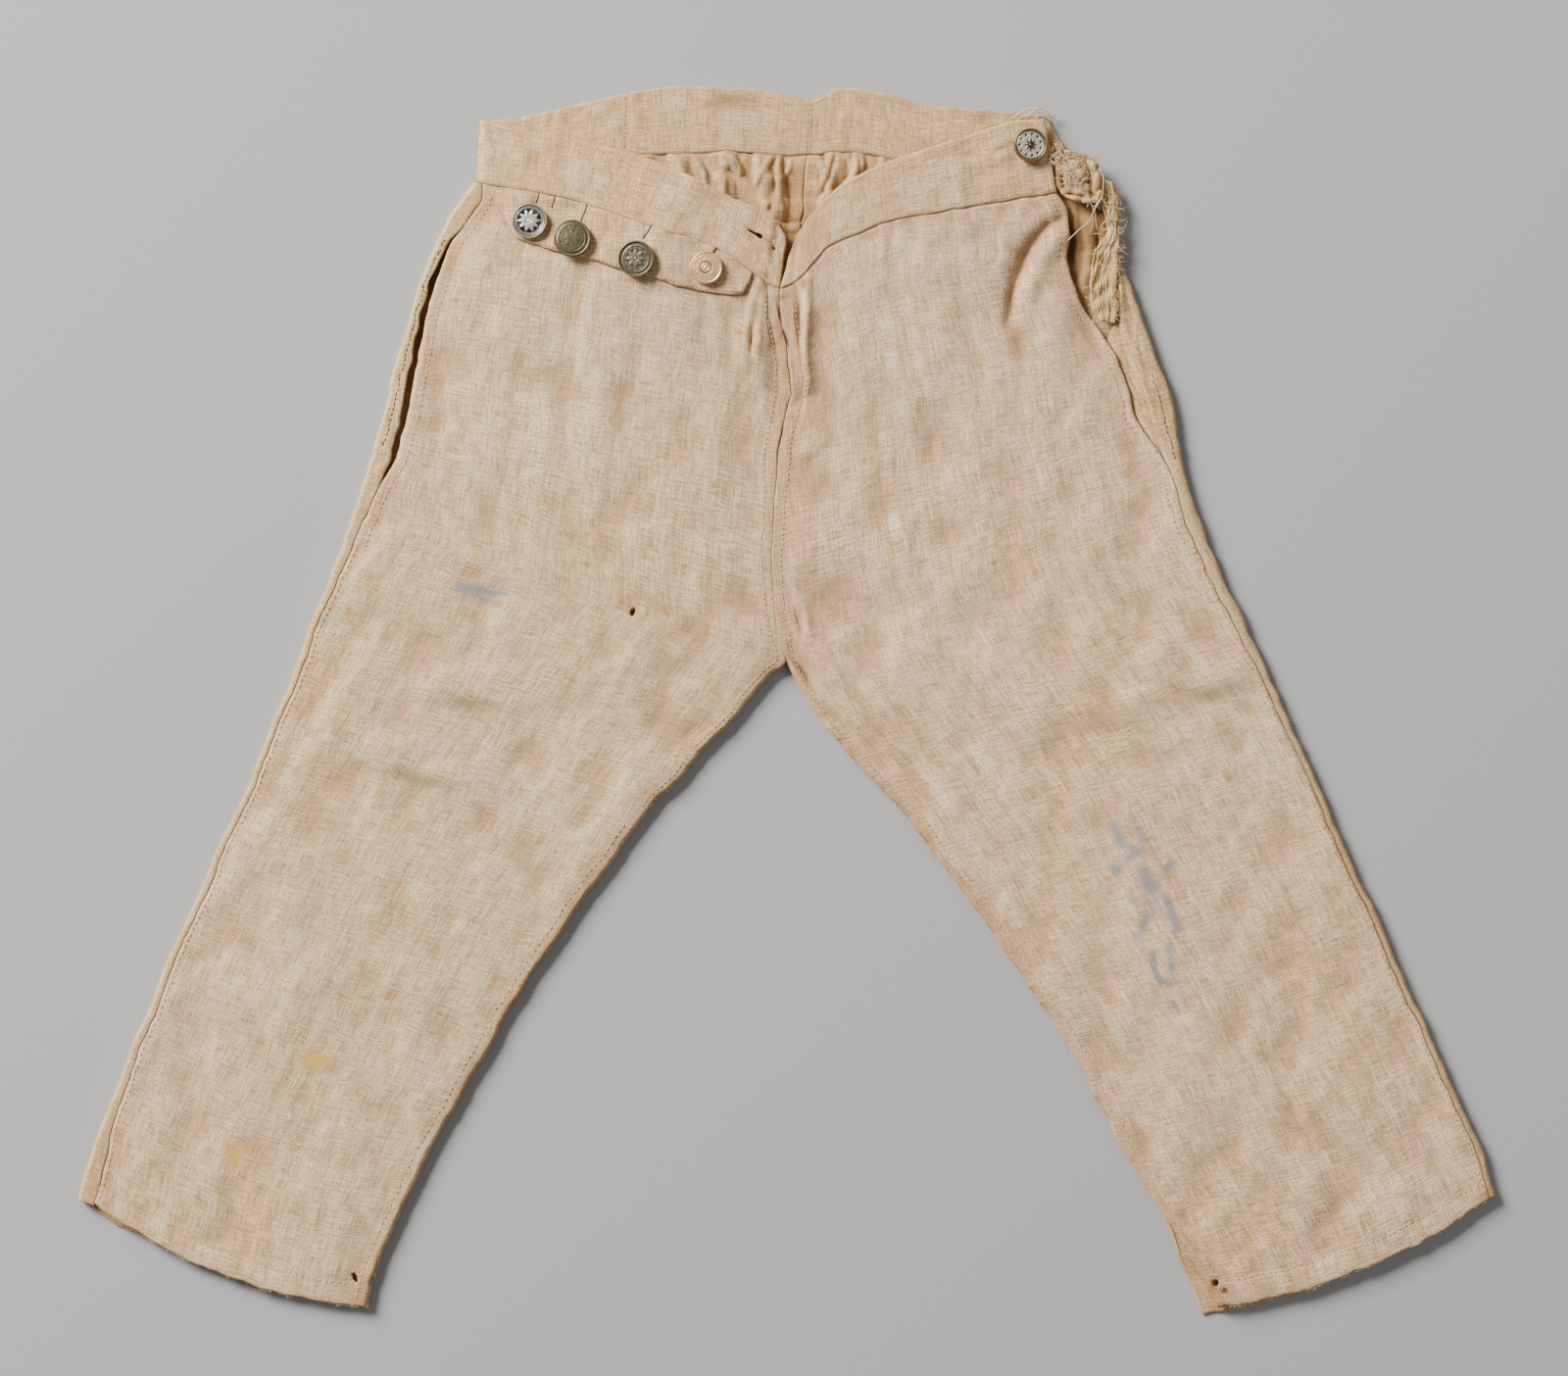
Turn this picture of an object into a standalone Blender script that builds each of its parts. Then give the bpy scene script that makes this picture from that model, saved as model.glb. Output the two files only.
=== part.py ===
import bpy
import numpy as np

# Knee breeches of coarse linen, laid flat with the front up.
# All tables are in millimetres, seen from above: x to the right, y toward the waist, heights from
# the surface it lies on. Left and right are the viewer's.
MM = 0.001

CLOTH = 1.2
BAND = 2.2
STRIP = 1.2
FACING = 1.0
SCRAP = 1.8
GAP = 0.3
SPACE = 0.32
GATHERED_GAP = 0.6
LOW = CLOTH / 2
BAND_LOW = BAND / 2
SIDE_FOLD_STEPS = 6
EDGE_STEPS = 3
EDGE_TURN = np.radians(83.0)
LEG_PUFF = 0.7
SHARP_ANGLE = np.radians(40.0)

# One row for each section of a leg, from the waist seam to the hem.
# outer: where the leg's side outline is. front and back: where the section ends at the middle or at
# the inner leg seam. seam_in: how far in from the outline the front panel starts. wrap_in: how far in
# the back panel reaches once it has turned over the side. side and middle: height of the front panel.
# curl: 1 where the edge is rolled round to the other panel. rise: how much of the waist line's curve
# the section keeps. bow: how far its middle stands off a straight line.
LEG_COLUMNS = (
    "outer_x", "outer_y", "front_x", "front_y", "back_x", "back_y",
    "seam_in", "wrap_in", "side", "middle", "curl", "rise", "bow",
)
LEFT_LEG = (
    (-140.0, 234.0, -3.0, 185.0, 9.0, 246.0, 4.3, 4.0, 5.0, 9.0, 0.0, 1.0, 0.0),
    (-147.0, 226.0, -3.0, 177.0, 8.0, 234.0, 9.3, 9.0, 4.6, 9.1, 0.0, 0.97, 0.0),
    (-153.0, 216.0, -2.0, 169.0, 7.0, 220.0, 8.5, 8.2, 4.3, 9.0, 0.0, 0.93, 0.0),
    (-158.0, 205.0, 0.0, 161.0, 6.0, 205.0, 6.5, 5.0, 4.2, 8.7, 0.0, 0.88, 0.0),
    (-166.0, 185.0, 2.0, 142.0, 4.0, 180.0, 7.5, 5.2, 4.2, 7.8, 0.0, 0.6, 0.0),
    (-174.0, 158.0, -3.0, 118.0, 1.0, 148.0, 9.0, 6.5, 4.2, 6.6, 0.0, 0.3, 0.0),
    (-180.0, 134.0, -5.0, 92.0, 0.0, 115.0, 10.8, 8.4, 4.2, 5.6, 0.0, 0.1, 0.0),
    (-186.0, 113.0, -7.0, 60.0, -1.0, 80.0, 11.0, 8.8, 4.2, 5.0, 0.0, 0.0, 0.0),
    (-190.0, 100.0, -5.0, 38.0, -1.0, 45.0, 8.3, 8.0, 4.2, 4.4, 0.0, 0.0, 0.0),
    (-195.0, 84.0, 0.0, 18.0, 0.0, 18.0, 6.0, 5.7, 4.2, 4.2, 0.0, 0.0, 0.0),
    (-198.0, 76.0, -6.5, 12.5, -6.5, 12.5, 5.3, 5.0, 4.2, 4.2, 1.0, 0.0, 0.0),
    (-211.0, 42.0, -27.0, -11.0, -27.0, -11.0, 3.6, 3.3, 4.2, 4.2, 1.0, 0.0, 0.0),
    (-226.0, 3.0, -60.0, -47.0, -60.0, -47.0, 3.4, 3.1, 4.2, 4.2, 1.0, 0.0, 0.0),
    (-242.0, -36.0, -87.0, -84.0, -87.0, -84.0, 3.4, 3.1, 4.2, 4.2, 1.0, 0.0, 0.0),
    (-259.0, -73.0, -113.0, -121.0, -113.0, -121.0, 3.6, 3.3, 4.2, 4.2, 1.0, 0.0, -1.0),
    (-274.0, -107.0, -135.0, -158.0, -135.0, -158.0, 3.6, 3.3, 4.2, 4.2, 1.0, 0.0, -2.0),
    (-291.0, -147.0, -157.0, -197.0, -157.0, -197.0, 4.3, 4.0, 4.2, 4.2, 1.0, 0.0, -4.0),
    (-306.0, -185.0, -174.0, -231.0, -174.0, -231.0, 5.0, 4.7, 4.2, 4.2, 1.0, 0.0, -6.0),
    (-314.0, -208.0, -184.0, -256.0, -184.0, -256.0, 8.0, 7.7, 4.2, 4.2, 1.0, 0.0, -8.0),
    (-319.5, -223.0, -189.0, -273.0, -189.0, -273.0, 9.0, 8.7, 4.2, 4.2, 1.0, 0.0, -9.0),
)
RIGHT_LEG = (
    (143.0, 236.0, -3.0, 185.0, 9.0, 246.0, 22.5, 4.0, 5.0, 9.0, 0.0, 1.0, 0.0),
    (145.0, 226.0, -3.0, 177.0, 8.0, 234.0, 20.0, 4.0, 4.6, 9.1, 0.0, 0.97, 0.0),
    (147.0, 215.0, -2.0, 169.0, 7.0, 220.0, 20.5, 4.0, 4.3, 9.0, 0.0, 0.93, 0.0),
    (148.5, 204.0, 0.0, 161.0, 6.0, 205.0, 24.0, 4.0, 4.2, 8.7, 0.0, 0.88, 0.0),
    (155.0, 187.0, 2.0, 142.0, 4.0, 180.0, 24.0, 6.5, 4.2, 7.8, 0.0, 0.6, 0.0),
    (165.0, 158.0, -3.0, 118.0, 1.0, 148.0, 17.0, 13.5, 4.2, 6.6, 0.0, 0.3, 0.0),
    (174.0, 135.0, -5.0, 92.0, 0.0, 115.0, 18.5, 15.5, 4.2, 5.6, 0.0, 0.1, 0.0),
    (177.0, 116.0, -7.0, 60.0, -1.0, 80.0, 10.5, 8.0, 4.2, 5.0, 0.0, 0.0, 0.0),
    (179.5, 101.0, -5.0, 38.0, -1.0, 45.0, 5.8, 5.5, 4.2, 4.4, 0.0, 0.0, 0.0),
    (187.0, 80.0, 0.0, 18.0, 0.0, 18.0, 7.3, 7.0, 4.2, 4.2, 0.0, 0.0, 0.0),
    (190.0, 72.0, 2.0, 12.5, 2.0, 12.5, 6.8, 6.5, 4.2, 4.2, 1.0, 0.0, 0.0),
    (206.0, 36.0, 17.0, -11.0, 17.0, -11.0, 5.3, 5.0, 4.2, 4.2, 1.0, 0.0, 0.0),
    (221.5, 2.0, 50.0, -47.0, 50.0, -47.0, 3.6, 3.3, 4.2, 4.2, 1.0, 0.0, 0.0),
    (239.0, -37.0, 78.0, -84.0, 78.0, -84.0, 3.4, 3.1, 4.2, 4.2, 1.0, 0.0, 0.0),
    (257.0, -78.0, 104.0, -121.0, 104.0, -121.0, 3.4, 3.1, 4.2, 4.2, 1.0, 0.0, -1.0),
    (273.0, -114.0, 128.0, -158.0, 128.0, -158.0, 3.4, 3.1, 4.2, 4.2, 1.0, 0.0, -2.0),
    (291.0, -154.0, 149.0, -197.0, 149.0, -197.0, 3.4, 3.1, 4.2, 4.2, 1.0, 0.0, -4.0),
    (307.0, -188.0, 169.0, -231.0, 169.0, -231.0, 3.4, 3.1, 4.2, 4.2, 1.0, 0.0, -6.0),
    (315.0, -208.0, 182.0, -255.0, 179.5, -256.0, 3.4, 3.1, 4.2, 4.2, 0.1, 0.0, -8.0),
    (319.5, -222.0, 191.5, -273.0, 187.5, -276.0, 3.4, 3.1, 4.2, 4.2, 0.0, 0.0, -9.0),
)

# One row for each point of the waist line, from the side to the middle: the seam under the band,
# and the band's upper edge above it.
WAIST_COLUMNS = ("seam_x", "seam_y", "top_x", "top_y")
FRONT_LEFT_WAIST = (
    (-136.0, 232.6, -136.5, 260.8),
    (-129.0, 231.3, -128.0, 258.7),
    (-111.5, 228.4, -108.0, 254.2),
    (-89.0, 223.2, -84.0, 249.0),
    (-68.4, 217.0, -60.0, 242.0),
    (-55.0, 211.8, -42.0, 235.0),
    (-36.3, 206.6, -28.0, 228.0),
    (-20.0, 198.0, -14.0, 221.0),
    (-11.0, 191.5, -6.0, 216.0),
    (-3.0, 185.0, 0.2, 208.6),
)
FRONT_RIGHT_WAIST = (
    (121.7, 228.7, 116.0, 261.8),
    (107.0, 226.3, 104.0, 260.3),
    (85.0, 222.3, 82.0, 253.6),
    (62.0, 218.0, 59.0, 247.0),
    (42.5, 214.0, 41.0, 239.8),
    (29.0, 209.0, 28.5, 234.0),
    (19.0, 204.0, 21.0, 229.0),
    (13.5, 198.5, 15.0, 223.0),
    (9.0, 193.0, 10.5, 216.5),
    (4.0, 188.5, 6.0, 210.0),
    (-3.0, 185.0, 2.6, 203.5),
)
BACK_LEFT_WAIST = (
    (-137.0, 234.4, -135.5, 261.2),
    (-124.0, 237.2, -122.0, 262.6),
    (-109.0, 240.0, -107.0, 265.4),
    (-90.0, 243.6, -89.0, 270.0),
    (-75.0, 246.0, -75.0, 273.0),
    (-59.0, 246.7, -61.0, 275.3),
    (-44.0, 247.2, -45.0, 276.6),
    (-24.0, 248.0, -22.0, 275.4),
    (-6.0, 246.7, -4.0, 273.4),
    (9.0, 246.0, 11.4, 270.2),
)
BACK_RIGHT_WAIST = (
    (140.0, 235.4, 122.0, 252.0),
    (133.0, 236.8, 117.5, 262.6),
    (104.0, 238.3, 103.0, 264.2),
    (80.0, 240.5, 79.0, 267.0),
    (60.0, 243.5, 61.0, 269.0),
    (50.0, 245.3, 49.0, 272.0),
    (34.0, 248.5, 34.0, 275.0),
    (24.0, 249.2, 24.0, 276.2),
    (17.0, 248.6, 17.0, 273.2),
    (9.0, 246.0, 11.8, 270.2),
)
BAND_JOIN = 0.44
TORN_BAND_START = 0.055
BAND_FOLD_X = (-140.0, -139.0)

# One row for each gather of the back under its band: where it starts, how far it leans over while
# it fades, its height and its half width.
GATHER_COLUMNS = ("x", "lean", "height", "half_width")
GATHERS = (
    (-64.0, 5.0, 2.0, 10.0),
    (-44.0, 8.0, 3.0, 9.0),
    (-23.0, 9.0, 3.2, 9.0),
    (-6.0, 4.0, 3.0, 7.5),
    (16.0, 1.0, 3.0, 7.5),
    (28.0, -3.0, 3.2, 8.0),
    (46.0, -7.0, 3.0, 9.0),
    (65.0, -9.0, 2.0, 10.0),
)
GATHER_LENGTH = 82.0
GATHER_START = 0.3
GATHER_SWELL = 12.0

# One row for each large fold of the front: its two ends, its height (below zero for a trough) and
# its half width.
FOLD_COLUMNS = ("x1", "y1", "x2", "y2", "height", "half_width")
LEFT_FOLDS = (
    (-6.0, 186.0, -2.0, 128.0, -1.8, 9.0),
    (-176.0, 6.0, -70.0, 14.0, 0.5, 14.0),
    (-190.0, -30.0, -120.0, -22.0, -0.5, 14.0),
)
RIGHT_FOLDS = (
    (120.0, 212.0, 101.0, 158.0, -1.8, 10.0),
    (127.0, 190.0, 116.0, 150.0, 1.4, 11.0),
    (5.0, 182.0, 7.0, 132.0, 1.2, 8.0),
    (96.0, -18.0, 176.0, 0.0, 0.5, 14.0),
)

# Places of the section lines, as shares of the way across a panel and as rows of the leg tables.
FRONT_SHARES = (
    0.0, 0.06, 0.12, 0.18, 0.24, 0.3, 0.36, 0.42, 0.48, 0.54, 0.6, 0.66, 0.72, 0.78, 0.87,
    0.92, 0.965, 1.0,
)
BACK_SHARES = (
    0.0, 0.12, 0.24, 0.34, 0.42, 0.47, 0.505, 0.54, 0.575, 0.61, 0.645, 0.68, 0.715, 0.75,
    0.785, 0.82, 0.855, 0.89, 0.925, 0.96, 1.0,
)
FRONT_ROWS = tuple(range(19)) + (18.3, 18.62, 19)
HOLE_ROW = 19
HOLE_COLUMN = 15
BACK_ROWS = tuple(range(20))
STRIP_ROWS = (0, 4)
STRIP_COLUMNS = (1, 15)

# One row for each button: place, diameter, rim height over the plate, dome height over the plate.
BUTTON_COLUMNS = ("name", "x", "y", "diameter", "rim", "dome", "red", "green", "blue", "rough")
BUTTONS = (
    ("button_star", -115.0, 215.0, 15.9, 0.9, 0.5, 196, 192, 182, 0.35),
    ("button_dark", -96.0, 207.0, 16.7, 0.5, 0.9, 92, 82, 62, 0.55),
    ("button_rimmed", -67.0, 198.0, 16.3, 1.0, 0.4, 104, 92, 72, 0.5),
    ("button_pale", -36.0, 194.0, 14.5, 0.5, 0.8, 205, 190, 150, 0.35),
    ("button_band", 109.0, 249.3, 15.0, 0.8, 0.4, 178, 164, 128, 0.4),
)
BUTTON_SIDES = 20
SHANK_RADIUS = 2.6
SHANK_HEIGHT = 1.3
PLATE = 1.0
SEAT_PLAY = 0.05
SEAT_REACH = 9.0

# One row for each section of the loose facing and of the torn band end at the right hip.
SCRAP_COLUMNS = ("left_x", "left_y", "right_x", "right_y", "height", "sag")
FACING_ROWS = (
    (143.4, 234.0, 147.0, 232.5, 5.7, 0.0),
    (145.0, 224.0, 149.0, 222.5, 5.7, 0.0),
    (144.8, 214.0, 149.6, 212.0, 5.7, 0.1),
    (141.5, 206.0, 149.4, 204.0, 5.8, 0.3),
    (138.0, 199.0, 149.0, 197.0, 6.0, 0.5),
    (136.2, 188.0, 148.6, 187.0, 6.0, 0.6),
    (136.8, 178.0, 148.2, 177.0, 5.9, 0.5),
    (140.4, 171.0, 147.8, 169.6, 5.8, 0.3),
)
BAND_END_ROWS = (
    (121.6, 231.0, 119.9, 246.2, 6.6, 0.0),
    (124.0, 227.2, 123.2, 247.6, 6.8, 0.2),
    (129.0, 224.6, 128.0, 246.8, 7.0, 0.3),
    (134.0, 223.4, 134.0, 245.2, 7.0, 0.3),
    (138.6, 223.6, 138.4, 242.4, 6.9, 0.2),
    (141.6, 227.6, 141.0, 237.6, 6.8, 0.0),
)

LINEN_LEFT = (211, 193, 172)
LINEN_RIGHT = (203, 183, 159)
LINEN_BACK = (198, 174, 146)
LINEN_BAND_LEFT = (209, 189, 164)
LINEN_BAND_RIGHT = (201, 179, 154)
LINEN_STRIP = (205, 183, 157)
LINEN_YELLOW = (196, 170, 124)
LINEN_ROUGHNESS = 0.92


def column(table, names, name):
    place = names.index(name)
    return np.array([row[place] for row in table], dtype=float)


def leg_value(leg, name, rows):
    values = column(leg, LEG_COLUMNS, name)
    return np.interp(rows, np.arange(len(values)), values)


def leg_point(leg, name, rows):
    return np.stack([leg_value(leg, name + "_x", rows), leg_value(leg, name + "_y", rows)], axis=-1)


def unit(vectors):
    length = np.linalg.norm(vectors, axis=-1, keepdims=True)
    return vectors / np.maximum(length, 1e-9)


def waist_line(table, kind, shares):
    # Points of a waist line at shares of the seam's length.
    seam = np.stack([column(table, WAIST_COLUMNS, "seam_x"), column(table, WAIST_COLUMNS, "seam_y")], axis=-1)
    steps = np.linalg.norm(np.diff(seam, axis=0), axis=1)
    places = np.concatenate([[0.0], np.cumsum(steps)]) / steps.sum()
    x = np.interp(shares, places, column(table, WAIST_COLUMNS, kind + "_x"))
    y = np.interp(shares, places, column(table, WAIST_COLUMNS, kind + "_y"))
    return np.stack([x, y], axis=-1)


def shares_along(points):
    # Share of a line's whole length at each of its points.
    steps = np.linalg.norm(np.diff(points, axis=0), axis=1)
    return np.concatenate([[0.0], np.cumsum(steps)]) / steps.sum()


def fitted_line(waist, start, end, reach, shares):
    # The seam's line between a section's own ends, short of the middle by the edge's reach.
    shares = np.asarray(shares)
    whole = np.linalg.norm(end - start) + reach
    line = waist_line(waist, "seam", shares * (1.0 - reach / whole))
    line = line + (start - line[0]) * (1.0 - shares)[:, None]
    return line + (end - line[-1]) * shares[:, None]


def bump(distance, half_width):
    inside = np.clip(np.abs(distance) / half_width, 0.0, 1.0)
    return np.cos(inside * np.pi / 2) ** 2


def fold_heights(folds, x, y):
    # Height of the large folds at each point: a soft ridge or trough along each fold's line.
    total = np.zeros_like(x)
    for x1, y1, x2, y2, height, half_width in folds:
        length = (x2 - x1) ** 2 + (y2 - y1) ** 2
        along = np.clip(((x - x1) * (x2 - x1) + (y - y1) * (y2 - y1)) / length, 0.0, 1.0)
        away = np.hypot(x - x1 - along * (x2 - x1), y - y1 - along * (y2 - y1))
        total += height * bump(away, half_width)
    return total


def gather_heights(x, y, waist_y):
    # Gathers swell just under the band and fade out down the back.
    below = np.maximum(waist_y - y, 0.0)
    swell = GATHER_START + (1.0 - GATHER_START) * np.clip(below / GATHER_SWELL, 0.0, 1.0)
    fade = np.clip(1.0 - below / GATHER_LENGTH, 0.0, 1.0)
    total = np.zeros_like(x)
    for start, lean, height, half_width in GATHERS:
        crest = start + lean * np.clip(below / GATHER_LENGTH, 0.0, 1.0)
        total += height * bump(x - crest, half_width)
    return total * swell * fade


def curl_steps(curl, radius):
    # Points of a panel's edge as it rolls over: how far along and how far over each one lies.
    turn = np.maximum(curl, 0.001)[:, None] * EDGE_TURN * np.arange(1, EDGE_STEPS + 1) / EDGE_STEPS
    bend = radius[:, None] / np.maximum(curl, 0.001)[:, None]
    return bend * np.sin(turn), bend * (1.0 - np.cos(turn))


def spread(start, end, line, rise, bow, shares):
    # Sections from start to end, with the waist line's curve and the section's own bow added.
    shares = np.asarray(shares)
    straight = start[:, None, :] + (end - start)[:, None, :] * shares[None, :, None]
    top = start[0] + (end[0] - start[0]) * shares[:, None]
    straight = straight + rise[:, None, None] * (line - top)[None, :, :]
    straight[..., 1] += bow[:, None] * 4.0 * shares * (1.0 - shares)
    return straight


def front_heights(side, middle, shares):
    shares = np.asarray(shares)
    up = np.sin(np.pi / 2 * np.clip(shares / 0.55, 0.0, 1.0))
    puff = LEG_PUFF * np.sin(np.pi * shares)
    return side[:, None] + (middle - side)[:, None] * up[None, :] + puff[None, :]


def front_grid(leg, waist, folds, shares, rows):
    # Middle surface of a front panel, from its side edge to the middle or inner leg seam.
    outer = leg_point(leg, "outer", rows)
    inner = leg_point(leg, "front", rows)
    across = unit(inner - outer)
    curl = leg_value(leg, "curl", rows)
    side = leg_value(leg, "side", rows)
    middle = leg_value(leg, "middle", rows)
    radius = (middle - LOW) / 2
    along, over = curl_steps(curl, radius)
    reach = along[:, -1] + curl * LOW + (1.0 - curl) * SPACE / 2
    start = outer + across * leg_value(leg, "seam_in", rows)[:, None]
    end = inner - across * reach[:, None]
    line = fitted_line(waist, start[0], end[0], reach[0], shares)
    plan = spread(start, end, line, leg_value(leg, "rise", rows), leg_value(leg, "bow", rows), shares)
    height = front_heights(side, middle, shares)
    height = height + fold_heights(folds, plan[..., 0], plan[..., 1])
    flat = np.concatenate([plan, height[..., None]], axis=-1)
    edge = end[:, None, :] + across[:, None, :] * along[..., None]
    edge_height = height[:, -1][:, None] - over
    rolled = np.concatenate([edge, edge_height[..., None]], axis=-1)
    return np.concatenate([flat, rolled], axis=1)


def back_grid(leg, waist, shares, rows):
    # Middle surface of a back panel, from its edge on the front, round the side fold, to the middle.
    outer = leg_point(leg, "outer", rows)
    across = unit(leg_point(leg, "front", rows) - outer)
    inner = leg_point(leg, "back", rows)
    inward = unit(inner - outer)
    side = leg_value(leg, "side", rows)
    radius = (side - LOW) / 2
    turn = np.linspace(np.pi, 0.0, SIDE_FOLD_STEPS + 1)
    reach = (radius + LOW)[:, None] - radius[:, None] * np.sin(turn)[None, :]
    fold_height = LOW + radius[:, None] - radius[:, None] * np.cos(turn)[None, :]
    fold_plan = outer[:, None, :] + across[:, None, :] * reach[..., None]
    fold = np.concatenate([fold_plan, fold_height[..., None]], axis=-1)
    lip_plan = outer + across * leg_value(leg, "wrap_in", rows)[:, None]
    lip = np.concatenate([lip_plan, side[:, None]], axis=-1)[:, None, :]
    curl = leg_value(leg, "curl", rows)
    edge_radius = (leg_value(leg, "middle", rows) - LOW) / 2
    along, over = curl_steps(curl, edge_radius)
    end_reach = along[:, -1] + curl * LOW + (1.0 - curl) * SPACE / 2
    start = fold_plan[:, -1, :]
    end = inner - inward * end_reach[:, None]
    line = fitted_line(waist, start[0], end[0], end_reach[0], shares)
    plan = spread(start, end, line, leg_value(leg, "rise", rows), leg_value(leg, "bow", rows), shares)
    height = LOW + gather_heights(plan[..., 0], plan[..., 1], plan[0, :, 1][None, :])
    flat = np.concatenate([plan, height[..., None]], axis=-1)[:, 1:, :]
    edge = end[:, None, :] + inward[:, None, :] * along[..., None]
    rolled = np.concatenate([edge, (height[:, -1][:, None] + over)[..., None]], axis=-1)
    return np.concatenate([lip, fold, flat, rolled], axis=1)


def grid_normals(grid):
    # Upright direction at each grid point, from the mean of the edges on both sides of it.
    normals = []
    for axis in (1, 0):
        step = unit(np.diff(grid, axis=axis))
        first = np.take(step, [0], axis=axis)
        last = np.take(step, [-1], axis=axis)
        before = np.concatenate([first, step], axis=axis)
        after = np.concatenate([step, last], axis=axis)
        normals.append(unit(before + after))
    return unit(np.cross(normals[0], normals[1]))


def wall_mesh(name, grid, thickness, holes=()):
    # A cloth wall of even thickness about its middle surface, closed along its edges and holes.
    rows, columns = grid.shape[:2]
    normals = grid_normals(grid)
    upper = (grid + normals * thickness / 2).reshape(-1, 3)
    lower = (grid - normals * thickness / 2).reshape(-1, 3)
    count = rows * columns
    top_faces = []
    for row in range(rows - 1):
        for place in range(columns - 1):
            if (row, place) in holes:
                continue
            corner = row * columns + place
            top_faces.append((corner, corner + 1, corner + columns + 1, corner + columns))
    edges = set()
    for face in top_faces:
        for start, end in zip(face, face[1:] + face[:1]):
            edges.add((start, end))
    faces = list(top_faces)
    faces += [tuple(count + corner for corner in reversed(face)) for face in top_faces]
    for start, end in sorted(edges):
        if (end, start) not in edges:
            faces.append((end, start, start + count, end + count))
    return put_mesh(name, np.concatenate([upper, lower]), faces)


def put_mesh(name, points, faces):
    mesh = bpy.data.meshes.new(name)
    mesh.from_pydata((points * MM).tolist(), [], faces)
    mesh.validate()
    mesh.polygons.foreach_set("use_smooth", [True] * len(mesh.polygons))
    mesh.set_sharp_from_angle(angle=SHARP_ANGLE)
    mesh.update()
    thing = bpy.data.objects.new(name, mesh)
    bpy.context.scene.collection.objects.link(thing)
    return thing


def linear(channel):
    share = channel / 255.0
    if share <= 0.04045:
        return share / 12.92
    return ((share + 0.055) / 1.055) ** 2.4


def paint(thing, color, roughness, metallic=0.0):
    material = bpy.data.materials.new(thing.name + "_material")
    material.use_nodes = True
    shader = material.node_tree.nodes["Principled BSDF"]
    red, green, blue = (linear(channel) for channel in color)
    shader.inputs["Base Color"].default_value = (red, green, blue, 1.0)
    shader.inputs["Roughness"].default_value = roughness
    shader.inputs["Metallic"].default_value = metallic
    thing.data.materials.append(material)


def leg_panels(side, leg, front_waist, back_waist, folds, color):
    front = front_grid(leg, front_waist, folds, FRONT_SHARES, FRONT_ROWS)
    back = back_grid(leg, back_waist, BACK_SHARES, BACK_ROWS)
    if side == "right":
        front = front[:, ::-1]
        back = back[:, ::-1]
    columns = front.shape[1]
    hole_place = HOLE_COLUMN
    if side == "right":
        hole_place = columns - 2 - HOLE_COLUMN
    front_thing = wall_mesh("front_" + side + "_leg", front, CLOTH, {(HOLE_ROW, hole_place)})
    back_thing = wall_mesh("back_" + side + "_leg", back, CLOTH)
    paint(front_thing, color, LINEN_ROUGHNESS)
    paint(back_thing, LINEN_BACK, LINEN_ROUGHNESS)


def band_grid(bottom, top, heights):
    # A band between its lower and upper edge, four points wide.
    shares = np.linspace(0.0, 1.0, 4)[None, :, None]
    plan = bottom[:, None, :] + (top - bottom)[:, None, :] * shares
    height = np.repeat(heights[:, None], 4, axis=1)
    return np.concatenate([plan, height[..., None]], axis=-1)


def front_band_part(waist, panel):
    # Edges and heights of a front band, its lower edge just above the panel's upper edge.
    bottom = panel[0, :, :2].copy()
    top = waist_line(waist, "top", shares_along(bottom))
    bottom[:, 1] += GAP
    return bottom, top, panel[0, :, 2].copy()


def back_band_part(waist, panel, shares):
    # Edges of a back band at shares of the back's upper edge.
    edge = panel[0, SIDE_FOLD_STEPS + 1:, :2]
    places = shares_along(edge)
    x = np.interp(shares, places, edge[:, 0])
    y = np.interp(shares, places, edge[:, 1]) + GATHERED_GAP
    top = waist_line(waist, "top", shares)
    return np.stack([x, y], axis=-1), top


def waistband_front_left():
    panel = front_grid(LEFT_LEG, FRONT_LEFT_WAIST, LEFT_FOLDS, FRONT_SHARES, FRONT_ROWS)
    back = back_grid(LEFT_LEG, BACK_LEFT_WAIST, BACK_SHARES, BACK_ROWS)
    bottom, top, heights = front_band_part(FRONT_LEFT_WAIST, panel)
    shares = np.linspace(0.02, BAND_JOIN - 0.004, 5)
    back_bottom, back_top = back_band_part(BACK_LEFT_WAIST, back, shares)
    side = heights[0]
    radius = (side - BAND_LOW) / 2
    turn = np.linspace(np.pi, 0.0, SIDE_FOLD_STEPS + 1)
    reach = radius + BAND_LOW - radius * np.sin(turn)
    share = np.linspace(0.0, 1.0, SIDE_FOLD_STEPS + 1)
    fold_bottom_y = back[0, 1: SIDE_FOLD_STEPS + 2, 1] + SPACE
    fold_top_y = top[0, 1] + (back_top[0, 1] - top[0, 1]) * share
    fold_bottom = np.stack([BAND_FOLD_X[0] + reach, fold_bottom_y], axis=-1)
    fold_top = np.stack([BAND_FOLD_X[1] + reach, fold_top_y], axis=-1)
    fold_height = BAND_LOW + radius - radius * np.cos(turn)
    bottom = np.concatenate([bottom[:0:-1], fold_bottom, back_bottom[1:]])
    top = np.concatenate([top[:0:-1], fold_top, back_top[1:]])
    floor = np.full(len(shares) - 1, BAND_LOW)
    heights = np.concatenate([heights[:0:-1], fold_height, floor])
    thing = wall_mesh("waistband_front_left", band_grid(bottom, top, heights), BAND)
    paint(thing, LINEN_BAND_LEFT, LINEN_ROUGHNESS)


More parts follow.
